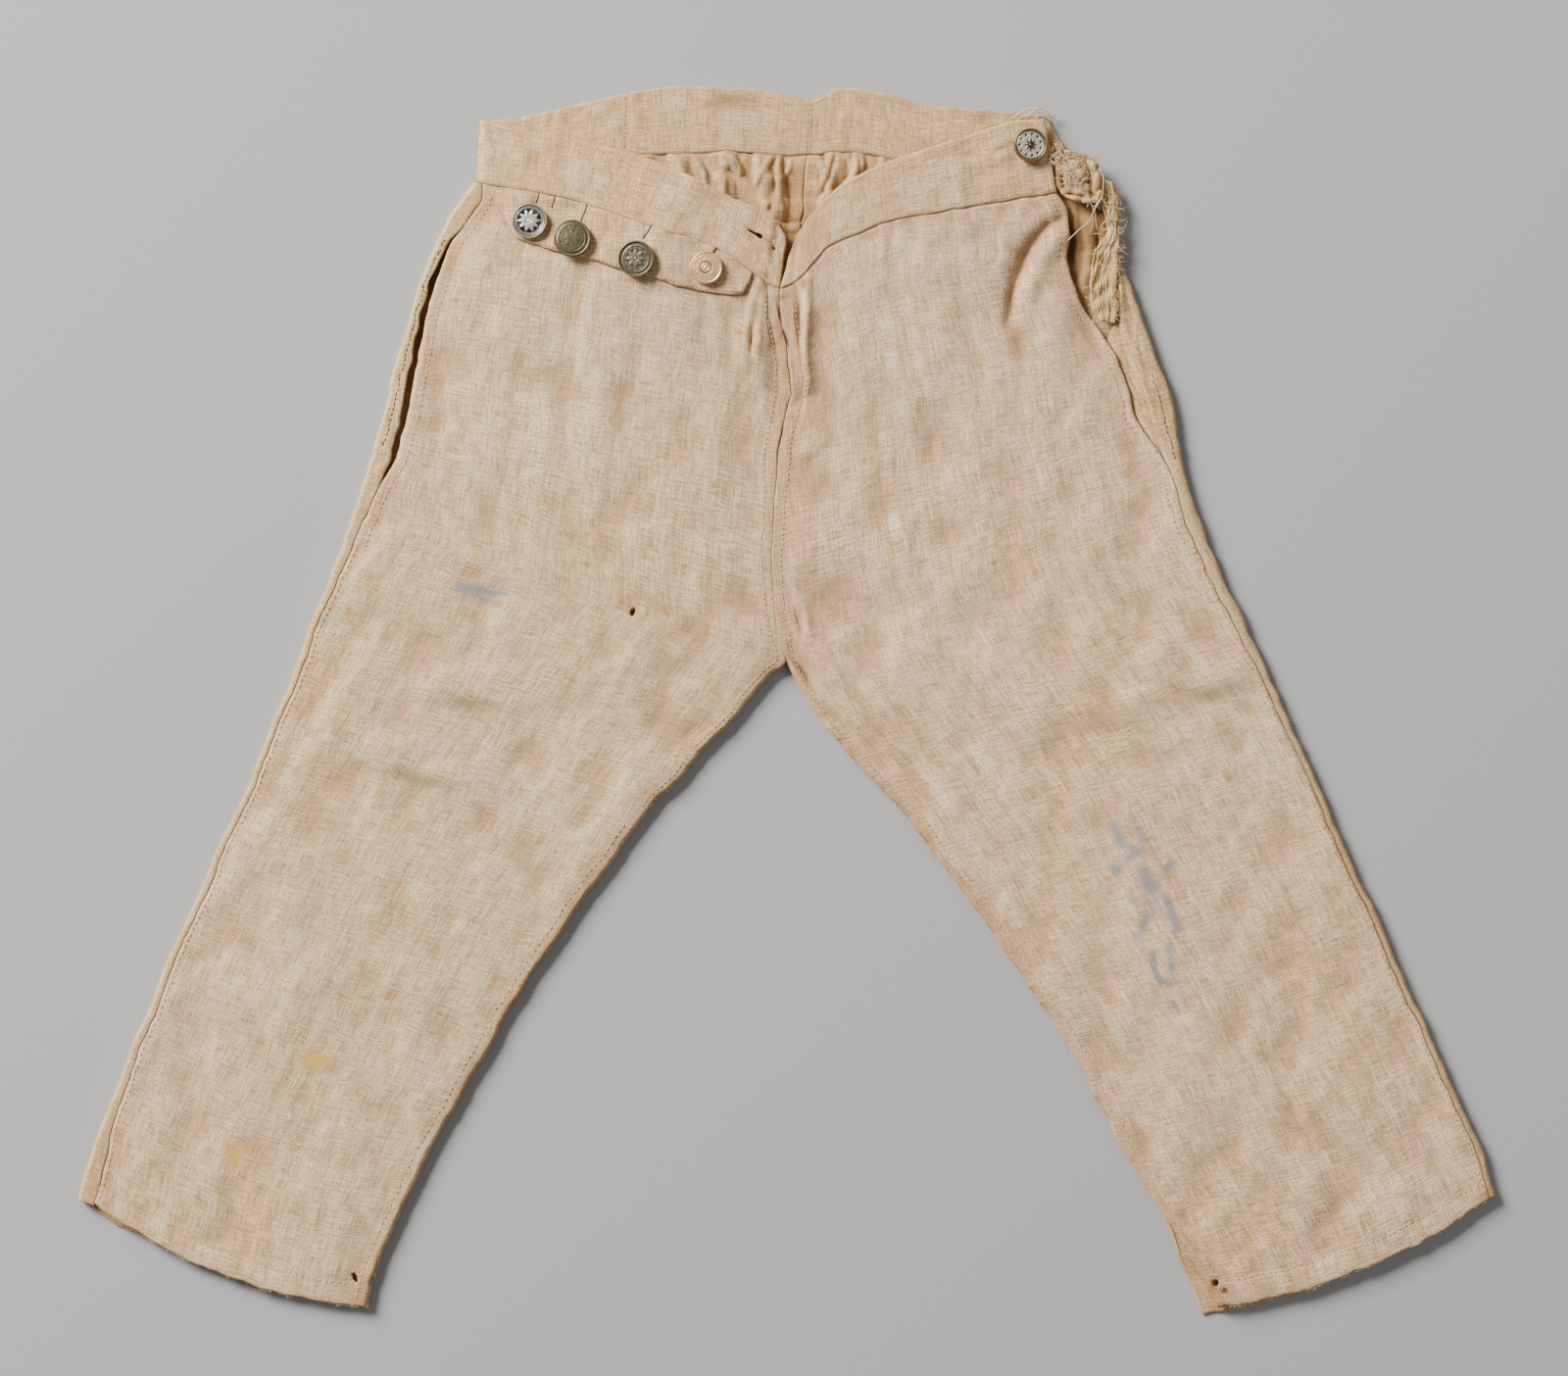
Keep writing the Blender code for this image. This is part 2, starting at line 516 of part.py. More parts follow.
def waistband_front_right():
    panel = front_grid(RIGHT_LEG, FRONT_RIGHT_WAIST, RIGHT_FOLDS, FRONT_SHARES, FRONT_ROWS)
    bottom, top, heights = front_band_part(FRONT_RIGHT_WAIST, panel)
    thing = wall_mesh("waistband_front_right", band_grid(bottom, top, heights), BAND)
    paint(thing, LINEN_BAND_RIGHT, LINEN_ROUGHNESS)


def waistband_back(side, leg, waist, first, last):
    panel = back_grid(leg, waist, BACK_SHARES, BACK_ROWS)
    shares = np.linspace(first, last, 14)
    bottom, top = back_band_part(waist, panel, shares)
    floor = np.full(len(shares), BAND_LOW)
    grid = band_grid(bottom, top, floor)
    if side == "left":
        grid = grid[::-1]
    thing = wall_mesh("waistband_back_" + side, grid, BAND)
    paint(thing, LINEN_BACK, LINEN_ROUGHNESS)


def strip_grid():
    # The strip is the front panel's own surface, moved up until it lies on the panel.
    panel = front_grid(LEFT_LEG, FRONT_LEFT_WAIST, LEFT_FOLDS, FRONT_SHARES, FRONT_ROWS)
    normals = grid_normals(panel)
    normals = normals * np.sign(normals[..., 2:])
    first, last = STRIP_ROWS
    left, right = STRIP_COLUMNS
    lift = CLOTH / 2 + GAP + STRIP / 2
    lifted = panel + normals * lift
    return lifted[first:last, left:right]


def button_strip():
    thing = wall_mesh("button_strip", strip_grid(), STRIP)
    paint(thing, LINEN_STRIP, LINEN_ROUGHNESS)


def button_profile(diameter, rim, dome):
    radius = diameter / 2
    plate_top = SHANK_HEIGHT + PLATE
    return (
        (SHANK_RADIUS, 0.0),
        (SHANK_RADIUS * 0.8, SHANK_HEIGHT),
        (radius * 0.86, SHANK_HEIGHT),
        (radius, SHANK_HEIGHT + PLATE * 0.5),
        (radius, plate_top + rim * 0.4),
        (radius * 0.93, plate_top + rim),
        (radius * 0.84, plate_top + rim * 0.3),
        (radius * 0.5, plate_top + dome * 0.75),
        (radius * 0.18, plate_top + dome),
    )


def button_seats():
    # The cloth under the buttons: its middle surface and half its thickness.
    strip = strip_grid()
    panel = front_grid(RIGHT_LEG, FRONT_RIGHT_WAIST, RIGHT_FOLDS, FRONT_SHARES, FRONT_ROWS)
    bottom, top, heights = front_band_part(FRONT_RIGHT_WAIST, panel)
    band = band_grid(bottom, top, heights)
    return ((strip, STRIP / 2), (band, BAND / 2))


def height_at(grid, x, y):
    # Height and tilt of a surface at a place, from its points nearby.
    points = grid.reshape(-1, 3)
    away = np.hypot(points[:, 0] - x, points[:, 1] - y)
    weight = np.exp(-(away / SEAT_REACH) ** 2)
    base = np.stack([points[:, 0] - x, points[:, 1] - y, np.ones(len(points))], axis=-1)
    scaled = base * weight[:, None]
    slope = np.linalg.lstsq(scaled, points[:, 2] * weight, rcond=None)[0]
    return slope[2], unit(np.array([-slope[0], -slope[1], 1.0]))


def buttons():
    strip_seat, band_seat = button_seats()
    for name, x, y, diameter, rim, dome, red, green, blue, rough in BUTTONS:
        seat = strip_seat
        if x > 0:
            seat = band_seat
        height, upright = height_at(seat[0], x, y)
        base = np.array([x, y, height]) + upright * (seat[1] + GAP + SEAT_PLAY)
        side = unit(np.cross(np.array([0.0, 1.0, 0.0]), upright))
        other = np.cross(upright, side)
        profile = np.array(button_profile(diameter, rim, dome))
        turn = np.arange(BUTTON_SIDES) * 2 * np.pi / BUTTON_SIDES
        ring = np.cos(turn)[:, None] * side + np.sin(turn)[:, None] * other
        body = base + profile[:, 0][:, None, None] * ring[None] + profile[:, 1][:, None, None] * upright
        points = body.reshape(-1, 3)
        low = base
        high = base + upright * (profile[-1, 1] + dome * 0.04)
        points = np.concatenate([points, [low], [high]])
        low_place = len(points) - 2
        high_place = len(points) - 1
        faces = []
        last_ring = (len(profile) - 1) * BUTTON_SIDES
        for place in range(BUTTON_SIDES):
            after = (place + 1) % BUTTON_SIDES
            faces.append((low_place, after, place))
            faces.append((high_place, last_ring + place, last_ring + after))
            for level in range(len(profile) - 1):
                lower = level * BUTTON_SIDES
                upper = lower + BUTTON_SIDES
                faces.append((lower + place, lower + after, upper + after, upper + place))
        thing = put_mesh(name, points, faces)
        paint(thing, (red, green, blue), rough, 1.0)


def scrap_grid(rows, steps):
    # A loose scrap from its sections, sagging in the middle.
    left = np.stack([column(rows, SCRAP_COLUMNS, "left_x"), column(rows, SCRAP_COLUMNS, "left_y")], axis=-1)
    right = np.stack([column(rows, SCRAP_COLUMNS, "right_x"), column(rows, SCRAP_COLUMNS, "right_y")], axis=-1)
    shares = np.linspace(0.0, 1.0, steps)
    plan = left[:, None, :] + (right - left)[:, None, :] * shares[None, :, None]
    sag = column(rows, SCRAP_COLUMNS, "sag")[:, None] * np.sin(np.pi * shares)[None, :]
    height = column(rows, SCRAP_COLUMNS, "height")[:, None] - sag
    return np.concatenate([plan, height[..., None]], axis=-1)


def torn_facing():
    thing = wall_mesh("torn_facing", scrap_grid(FACING_ROWS, 4), FACING)
    paint(thing, LINEN_YELLOW, LINEN_ROUGHNESS)


def torn_band_end():
    thing = wall_mesh("torn_band_end", scrap_grid(BAND_END_ROWS, 5), SCRAP)
    paint(thing, LINEN_BAND_RIGHT, LINEN_ROUGHNESS)


def centre_on_origin():
    # The middle of the whole part's box stands at the origin, its lowest point at height zero.
    things = [thing for thing in bpy.data.objects if thing.type == "MESH"]
    clouds = []
    for thing in things:
        cloud = np.empty(len(thing.data.vertices) * 3)
        thing.data.vertices.foreach_get("co", cloud)
        clouds.append(cloud.reshape(-1, 3))
    low = np.min([cloud.min(axis=0) for cloud in clouds], axis=0)
    high = np.max([cloud.max(axis=0) for cloud in clouds], axis=0)
    shift = np.array([(low[0] + high[0]) / 2, (low[1] + high[1]) / 2, low[2]])
    for thing, cloud in zip(things, clouds):
        thing.data.vertices.foreach_set("co", (cloud - shift).ravel())
        thing.data.update()


def build():
    for thing in list(bpy.data.objects):
        bpy.data.objects.remove(thing, do_unlink=True)
    leg_panels("left", LEFT_LEG, FRONT_LEFT_WAIST, BACK_LEFT_WAIST, LEFT_FOLDS, LINEN_LEFT)
    leg_panels("right", RIGHT_LEG, FRONT_RIGHT_WAIST, BACK_RIGHT_WAIST, RIGHT_FOLDS, LINEN_RIGHT)
    waistband_front_left()
    waistband_front_right()
    waistband_back("left", LEFT_LEG, BACK_LEFT_WAIST, BAND_JOIN + 0.004, 1.0)
    waistband_back("right", RIGHT_LEG, BACK_RIGHT_WAIST, TORN_BAND_START, 1.0)
    button_strip()
    buttons()
    torn_facing()
    torn_band_end()
    centre_on_origin()


build()
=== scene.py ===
import bpy
import numpy as np
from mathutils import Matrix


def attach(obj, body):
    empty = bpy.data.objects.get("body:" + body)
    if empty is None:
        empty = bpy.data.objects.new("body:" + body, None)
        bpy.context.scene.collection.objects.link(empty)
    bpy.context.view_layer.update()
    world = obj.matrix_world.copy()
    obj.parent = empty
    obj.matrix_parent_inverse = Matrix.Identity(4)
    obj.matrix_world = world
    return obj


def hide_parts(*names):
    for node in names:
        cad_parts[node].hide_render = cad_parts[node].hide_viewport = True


# Knee breeches of coarse linen, laid flat with the front up. The tables are in millimetres, seen
# from above: x to the right, y toward the waist, heights from the surface the garment lies on.
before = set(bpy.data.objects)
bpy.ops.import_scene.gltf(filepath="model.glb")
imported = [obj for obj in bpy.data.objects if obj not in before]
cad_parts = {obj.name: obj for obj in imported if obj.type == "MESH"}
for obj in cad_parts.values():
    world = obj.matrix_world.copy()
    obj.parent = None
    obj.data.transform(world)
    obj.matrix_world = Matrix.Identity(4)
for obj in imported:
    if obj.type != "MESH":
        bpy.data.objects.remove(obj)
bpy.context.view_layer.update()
print("frame loaded:", len(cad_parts), "nodes")

mm = 0.001
tableShift = np.array([0.0054, 0.2465, 0.0])      # where the tables' zero lies, mm
cloth = {"thickness": 1.1, "bandThickness": 2.0, "stripThickness": 1.1, "gridStep": 1.9,
         "quickStep": 3.6, "low": 0.6, "bandLow": 1.1,
         "bandWide": 27.0, "closeGap": 0.03, "edgeRoll": 83.0}
gridStep = cloth["gridStep"]

legColumns = ("outerX", "outerY", "frontX", "frontY", "backX", "backY",
              "seamIn", "wrapIn", "side", "middle", "curl", "rise", "bow")
leftLeg = np.array((
    (-140, 234, -3, 185, 9, 246, 4.3, 4, 5, 9, 0, 1, 0),
    (-147, 226, -3, 177, 8, 234, 9.3, 9, 4.6, 9.1, 0, 0.97, 0),
    (-153, 216, -2, 169, 7, 220, 8.5, 8.2, 4.3, 9, 0, 0.93, 0),
    (-158, 205, 0, 161, 6, 205, 6.5, 5, 4.2, 8.7, 0, 0.88, 0),
    (-166, 185, 2, 142, 4, 180, 7.5, 5.2, 4.2, 7.8, 0, 0.6, 0),
    (-174, 158, -3, 118, 1, 148, 9, 6.5, 4.2, 6.6, 0, 0.3, 0),
    (-180, 134, -5, 92, 0, 115, 10.8, 8.4, 4.2, 5.6, 0, 0.1, 0),
    (-186, 113, -7, 60, -1, 80, 11, 8.8, 4.2, 5, 0, 0, 0),
    (-190, 100, -5, 38, -1, 45, 8.3, 8, 4.2, 4.4, 0, 0, 0),
    (-195, 84, 0, 18, 0, 18, 6, 5.7, 4.2, 4.2, 0, 0, 0),
    (-198, 76, -6.5, 12.5, -6.5, 12.5, 5.3, 5, 4.2, 4.2, 1, 0, 0),
    (-211, 42, -27, -11, -27, -11, 3.6, 3.3, 4.2, 4.2, 1, 0, 0),
    (-226, 3, -60, -47, -60, -47, 3.4, 3.1, 4.2, 4.2, 1, 0, 0),
    (-242, -36, -87, -84, -87, -84, 3.4, 3.1, 4.2, 4.2, 1, 0, 0),
    (-259, -73, -113, -121, -113, -121, 3.6, 3.3, 4.2, 4.2, 1, 0, -1),
    (-274, -107, -135, -158, -135, -158, 3.6, 3.3, 4.2, 4.2, 1, 0, -2),
    (-291, -147, -157, -197, -157, -197, 4.3, 4, 4.2, 4.2, 1, 0, -4),
    (-306, -185, -174, -231, -174, -231, 5, 4.7, 4.2, 4.2, 1, 0, -6),
    (-314, -208, -184, -256, -184, -256, 8, 7.7, 4.2, 4.2, 1, 0, -8),
    (-319.5, -223, -189, -273, -189, -273, 9, 8.7, 4.2, 4.2, 1, 0, -9),
))
rightLeg = np.array((
    (143, 236, -3, 185, 9, 246, 22.5, 4, 5, 9, 0, 1, 0),
    (145, 226, -3, 177, 8, 234, 20, 4, 4.6, 9.1, 0, 0.97, 0),
    (147, 215, -2, 169, 7, 220, 20.5, 4, 4.3, 9, 0, 0.93, 0),
    (148.5, 204, 0, 161, 6, 205, 24, 4, 4.2, 8.7, 0, 0.88, 0),
    (155, 187, 2, 142, 4, 180, 24, 6.5, 4.2, 7.8, 0, 0.6, 0),
    (165, 158, -3, 118, 1, 148, 17, 13.5, 4.2, 6.6, 0, 0.3, 0),
    (174, 135, -5, 92, 0, 115, 18.5, 15.5, 4.2, 5.6, 0, 0.1, 0),
    (177, 116, -7, 60, -1, 80, 10.5, 8, 4.2, 5, 0, 0, 0),
    (179.5, 101, -5, 38, -1, 45, 5.8, 5.5, 4.2, 4.4, 0, 0, 0),
    (187, 80, 0, 18, 0, 18, 7.3, 7, 4.2, 4.2, 0, 0, 0),
    (190, 72, 2, 12.5, 2, 12.5, 6.8, 6.5, 4.2, 4.2, 1, 0, 0),
    (206, 36, 17, -11, 17, -11, 5.3, 5, 4.2, 4.2, 1, 0, 0),
    (221.5, 2, 50, -47, 50, -47, 3.6, 3.3, 4.2, 4.2, 1, 0, 0),
    (239, -37, 78, -84, 78, -84, 3.4, 3.1, 4.2, 4.2, 1, 0, 0),
    (257, -78, 104, -121, 104, -121, 3.4, 3.1, 4.2, 4.2, 1, 0, -1),
    (273, -114, 128, -158, 128, -158, 3.4, 3.1, 4.2, 4.2, 1, 0, -2),
    (291, -154, 149, -197, 149, -197, 3.4, 3.1, 4.2, 4.2, 1, 0, -4),
    (307, -188, 169, -231, 169, -231, 3.4, 3.1, 4.2, 4.2, 1, 0, -6),
    (315, -208, 184.5, -254.5, 179, -256, 3.4, 3.1, 4.2, 4.2, 0.1, 0, -8),
    (319.5, -222, 194, -272.6, 187.5, -276, 3.4, 3.1, 4.2, 4.2, 0, 0, -9),
))
# Waist lines from the side to the middle: seamX, seamY, topX, topY.
frontLeftWaist = np.array((
    (-136, 232.6, -136.5, 260.8), (-129, 231.3, -128, 258.7), (-111.5, 228.4, -108, 254.2),
    (-89, 223.2, -84, 249), (-68.4, 217, -60, 242), (-55, 211.8, -42, 235),
    (-36.3, 206.6, -28, 228), (-20, 198, -14, 221), (-11, 191.5, -6, 216),
    (-3, 185, 0.2, 208.6),
))
frontRightWaist = np.array((
    (121.7, 228.7, 116, 261.8), (107, 226.3, 104, 260.3), (85, 222.3, 82, 253.6),
    (62, 218, 59, 247), (42.5, 214, 41, 239.8), (29, 209, 28.5, 234),
    (19, 204, 21, 229), (13.5, 198.5, 15, 223), (9, 193, 10.5, 216.5),
    (4, 188.5, 6, 210), (-3, 185, 2.6, 203.5),
))
backLeftWaist = np.array((
    (-137, 234.4, -135.5, 261.2), (-124, 237.2, -122, 262.6), (-109, 240, -107, 265.4),
    (-90, 243.6, -89, 270), (-75, 246, -75, 273), (-59, 246.7, -61, 275.3),
    (-44, 247.2, -45, 276.6), (-24, 248, -22, 275.4), (-6, 246.7, -4, 273.4),
    (9, 246, 11.4, 270.2),
))
backRightWaist = np.array((
    (140, 235.4, 122, 252), (133, 236.8, 117.5, 262.6), (104, 238.3, 103, 264.2),
    (80, 240.5, 79, 267), (60, 243.5, 61, 269), (50, 245.3, 49, 272),
    (34, 248.5, 34, 275), (24, 249.2, 24, 276.2), (17, 248.6, 17, 273.2),
    (9, 246, 11.8, 270.2),
))


# Numbers into surfaces.

def unit(vectors):
    # Each vector divided by its own length.
    return vectors / np.maximum(np.linalg.norm(vectors, axis=-1, keepdims=True), 1e-9)


def smoothCurve(places, values, at):
    # Cubic through the values with no overshoot: each slope is the harmonic mean of its two chords.
    places, values, at = (np.asarray(a, float) for a in (places, values, at))
    width = np.diff(places)
    chord = np.diff(values) / width
    before, after = chord[:-1], chord[1:]
    same = before * after > 0
    nearW, farW = 2 * width[1:] + width[:-1], width[1:] + 2 * width[:-1]
    mean = (nearW + farW) / (nearW / np.where(same, before, 1.0) + farW / np.where(same, after, 1.0))
    slope = np.concatenate([[chord[0]], np.where(same, mean, 0.0), [chord[-1]]])
    k = np.clip(np.searchsorted(places, at, side="right") - 1, 0, len(width) - 1)
    t = (at - places[k]) / width[k]
    return (values[k] * (2 * t**3 - 3 * t**2 + 1) + slope[k] * width[k] * (t**3 - 2 * t**2 + t)
            + values[k + 1] * (3 * t**2 - 2 * t**3) + slope[k + 1] * width[k] * (t**3 - t**2))


def shareAlong(points):
    # Share of a line's length at each of its points, from nought to one.
    steps = np.linalg.norm(np.diff(points, axis=0), axis=1)
    return np.concatenate([[0.0], np.cumsum(steps)]) / steps.sum()


def waistLine(waist, first, shares):
    # The waist line's x and y as smooth curves over the share of the seam's length.
    places = shareAlong(waist[:, :2])
    return np.stack([smoothCurve(places, waist[:, first], shares),
                     smoothCurve(places, waist[:, first + 1], shares)], axis=-1)


def legAt(leg, down):
    # Every column of a leg table at distances down its outer edge; the curl runs straight between rows.
    places = np.concatenate([[0.0], np.cumsum(np.hypot(*np.diff(leg[:, :2], axis=0).T))])
    rows = {name: smoothCurve(places, leg[:, k], down) for k, name in enumerate(legColumns)}
    rows["curl"] = np.interp(down, places, leg[:, 10])
    for name in ("outer", "front", "back"):
        rows[name] = np.stack([rows[name + "X"], rows[name + "Y"]], axis=-1)
    return rows


def legLength(leg):
    # Length of the outer edge from the waist to the hem.
    return float(np.hypot(*np.diff(leg[:, :2], axis=0).T).sum())


def spacedLine(length, step, zones=()):
    # Places from nought to the length, one step apart and closer inside each zone (start, end, step).
    places = [np.linspace(0.0, length, max(int(round(length / step)), 2) + 1)]
    for start, end, finer in zones:
        places.append(np.arange(start, end, finer))
    places = np.unique(np.concatenate(places))
    keep = np.concatenate([[True], np.diff(places) > step * 0.1])
    keep[-1] = True
    return places[keep]


def bump(away, halfWidth):
    # Squared cosine: one in the middle, nought at the half width.
    return np.cos(np.clip(np.abs(away) / halfWidth, 0.0, 1.0) * np.pi / 2) ** 2


def foldsAt(table, x, y):
    # Height of soft ridges and troughs: each row is a bent line (x1, y1, x2, y2), its sideways bow,
    # its height and its half width, and the height tapers toward both ends.
    total = np.zeros_like(x)
    for x1, y1, x2, y2, bow, height, halfWidth in table:
        run = np.hypot(x2 - x1, y2 - y1)
        ax, ay = (x2 - x1) / run, (y2 - y1) / run
        along = np.clip(((x - x1) * ax + (y - y1) * ay) / run, 0.0, 1.0)
        side = (x - x1) * -ay + (y - y1) * ax - bow * 4 * along * (1 - along)
        past = np.maximum(np.abs(((x - x1) * ax + (y - y1) * ay) / run - 0.5) - 0.5, 0.0) * run
        total += height * bump(np.hypot(side, past), halfWidth) * (0.35 + 0.65 * np.sin(np.pi * along))
    return total


def softWaves(x, y, seed, length, height):
    # Uneven ground: a sum of eighteen sine waves of about one length in seeded directions.
    rng = np.random.default_rng(seed)
    total = np.zeros_like(x)
    for angle, stretch, phase in zip(rng.uniform(0, np.pi, 18), rng.uniform(0.6, 1.8, 18),
            rng.uniform(0, 6.28, 18)):
        turn = 2 * np.pi / (length * stretch)
        total += np.sin(turn * (x * np.cos(angle) + y * np.sin(angle)) + phase)
    return total * height / 3.0


def handMade(grid):
    # Slight waver of the whole garment seen from above, the same for pieces that meet at a seam.
    x, y = grid[..., 0].copy(), grid[..., 1].copy()
    grid[..., 0] += softWaves(x, y, 101, 8.5, 0.16) + softWaves(x, y, 103, 34, 0.3)
    grid[..., 1] += softWaves(x, y, 102, 8.5, 0.16) + softWaves(x, y, 104, 34, 0.3)
    return grid


def edgeRoll(rows, radius, steps):
    # Points along a panel's edge as it rolls over: distance along and distance over, as arc sines.
    curl = np.maximum(rows["curl"], 0.001)[:, None]
    turn = curl * np.radians(cloth["edgeRoll"]) * np.arange(1, steps + 1) / steps
    return radius[:, None] / curl * np.sin(turn), radius[:, None] / curl * (1 - np.cos(turn))


def fittedLine(waist, start, end, reach, shares):
    # The waist seam's line, fitted between a section's own ends.
    whole = np.linalg.norm(end - start) + reach
    line = waistLine(waist, 0, shares * (1 - reach / whole))
    return line + (start - line[0]) * (1 - shares)[:, None] + (end - line[-1]) * shares[:, None]


def spreadSections(start, end, line, rows, shares):
    # Sections as straight lines from start to end, plus the waist line's curve and each row's bow.
    plan = start[:, None] + (end - start)[:, None] * shares[None, :, None]
    top = start[0] + (end[0] - start[0]) * shares[:, None]
    plan = plan + rows["rise"][:, None, None] * (line - top)[None]
    plan[..., 1] += rows["bow"][:, None] * 4 * shares * (1 - shares)
    return plan


def paintedCreaseShade(height, reach):
    # How far each point lies below the mean height within some cells of it, across and down: painted
    # shade, darker in creases and lighter on ridges.
    smooth = height
    for axis in (0, 1):
        n = smooth.shape[axis]
        total = np.concatenate([np.zeros_like(np.take(smooth, [0], axis=axis)),
            np.cumsum(smooth, axis=axis)], axis=axis)
        low, high = np.clip(np.arange(n) - reach, 0, n), np.clip(np.arange(n) + reach + 1, 0, n)
        span = (high - low).reshape((-1, 1) if axis == 0 else (1, -1))
        smooth = (np.take(total, high, axis=axis) - np.take(total, low, axis=axis)) / span
    return smooth - height


def gridNormals(grid):
    # Cross product of the mean edge directions across and down the grid.
    parts = []
    for axis in (1, 0):
        step = unit(np.diff(grid, axis=axis))
        before = np.concatenate([np.take(step, [0], axis=axis), step], axis=axis)
        after = np.concatenate([step, np.take(step, [-1], axis=axis)], axis=axis)
        parts.append(unit(before + after))
    return unit(np.cross(parts[0], parts[1]))


def onGrid(grid, row, col):
    # Point of a grid at broken row and column numbers, by the weighted mean of four corners.
    row, col = np.broadcast_arrays(np.asarray(row, float), np.asarray(col, float))
    r = np.clip(row.astype(int), 0, grid.shape[0] - 2)
    c = np.clip(col.astype(int), 0, grid.shape[1] - 2)
    fr, fc = (row - r)[..., None], (col - c)[..., None]
    return ((grid[r, c] * (1 - fc) + grid[r, c + 1] * fc) * (1 - fr)
            + (grid[r + 1, c] * (1 - fc) + grid[r + 1, c + 1] * fc) * fr)


def putMesh(name, points, faces, material, uv=None, marks=None, smoothFaces=None, crisp=None):
    # Points in mm and faces into one mesh at the origin, with its own UV and marks; faces after the
    # smooth ones are flat, and edges between two crisp points are sharp.
    mesh = bpy.data.meshes.new(name)
    mesh.from_pydata(((points - tableShift) * mm).tolist(), [], faces)
    mesh.update()
    mesh.polygons.foreach_set("use_smooth",
        np.arange(len(mesh.polygons)) < (smoothFaces or len(mesh.polygons)))
    corner = np.empty(len(mesh.loops), int)
    mesh.loops.foreach_get("vertex_index", corner)
    if crisp is not None:
        ends = np.empty(2 * len(mesh.edges), int)
        mesh.edges.foreach_get("vertices", ends)
        mesh.edges.foreach_set("use_edge_sharp", crisp[ends].reshape(-1, 2).all(axis=1))
    if uv is not None:
        layer = mesh.uv_layers.new(name="weave")
        layer.data.foreach_set("uv", (uv * mm)[corner].ravel())
    if marks is not None:
        layer = mesh.attributes.new("marks", "FLOAT_COLOR", "POINT")
        layer.data.foreach_set("color", marks.ravel())
    thing = bpy.data.objects.new(name, mesh)
    bpy.context.scene.collection.objects.link(thing)
    mesh.materials.append(material)
    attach(thing, "root")
    return thing


def shellMesh(name, grid, thickness, material, uv, marks, keep=None, joined=(False, False)):
    # Cloth about its middle grid: both faces lie half the thickness off along the normal, thinner at
    # the rim so that it is rounded, and rim faces close every edge and hole.
    rows, cols = grid.shape[:2]
    normal = gridNormals(grid)
    half = np.full((rows, cols), thickness / 2)
    for ring, share in ((1, 0.43), (0, 0.24)):
        half[:, ring], half[:, -1 - ring] = (thickness * share,) * 2
    for end, row in ((0, 0), (1, -1)):
        for ring, share in ((1, 0.43), (0, 0.24)):
            at = row - ring if end else ring
            half[at] = np.minimum(half[at], thickness * (0.5 - 0.04 * (1 - ring) if joined[end]
                else share))
    if keep is None:
        keep = np.ones((rows - 1, cols - 1), bool)
    upper = (grid + normal * half[..., None]).reshape(-1, 3)
    lower = (grid - normal * half[..., None]).reshape(-1, 3)
    count = rows * cols
    index = np.arange(count).reshape(rows, cols)
    a, b, c, d = index[:-1, :-1], index[:-1, 1:], index[1:, 1:], index[1:, :-1]
    top = np.stack([a, b, c, d], -1)[keep]
    faces = [top, top[:, ::-1] + count]
    around = np.pad(keep, 1)
    for start, end, beyond in ((a, b, around[:-2, 1:-1]), (b, c, around[1:-1, 2:]),
                               (c, d, around[2:, 1:-1]), (d, a, around[1:-1, :-2])):
        open_ = keep & ~beyond
        s, e = start[open_], end[open_]
        faces.append(np.stack([e, s, s + count, e + count], -1))
    faces = np.concatenate(faces).tolist()
    used = np.concatenate([upper, lower])
    crisp = np.zeros((2, rows, cols), bool)
    crisp[:, 0], crisp[:, -1] = joined
    crisp = crisp.reshape(-1)
    both = lambda layer: None if layer is None else np.concatenate([layer.reshape(count, -1)] * 2)
    uv, marks = both(uv), both(marks)
    if not keep.all():
        live = np.unique(np.concatenate([np.asarray(f) for f in faces]))
        lookup = np.full(2 * count, -1)
        lookup[live] = np.arange(len(live))
        faces = lookup[np.array(faces)].tolist()
        used, uv, marks, crisp = used[live], uv[live], marks[live], crisp[live]
    return putMesh(name, used, faces, material, uv, marks, 2 * len(top), crisp if any(joined) else None)


def cutHoles(grid, holes):
    # Cells inside each oval (x, y, half width, half length, turn) go, and its rim is drawn on to the oval.
    keep = np.ones((grid.shape[0] - 1, grid.shape[1] - 1), bool)
    middle = (grid[:-1, :-1] + grid[1:, :-1] + grid[:-1, 1:] + grid[1:, 1:]) / 4
    for x, y, wide, long_, turn in holes:
        c, s = np.cos(np.radians(turn)), np.sin(np.radians(turn))
        def oval(p):
            dx, dy = p[..., 0] - x, p[..., 1] - y
            return (dx * c + dy * s) / wide, (-dx * s + dy * c) / long_
        u, v = oval(middle)
        gone = np.hypot(u, v) < 1.0
        keep &= ~gone
        touched = np.zeros(grid.shape[:2], bool)
        for shift in ((0, 0), (1, 0), (0, 1), (1, 1)):
            touched[shift[0]: shift[0] + gone.shape[0], shift[1]: shift[1] + gone.shape[1]] |= gone
        u, v = oval(grid)
        r = np.maximum(np.hypot(u, v), 1e-6)
        u, v = np.where(touched, u / r, u) * wide, np.where(touched, v / r, v) * long_
        grid[..., 0] = np.where(touched, x + u * c - v * s, grid[..., 0])
        grid[..., 1] = np.where(touched, y + u * s + v * c, grid[..., 1])
    return keep


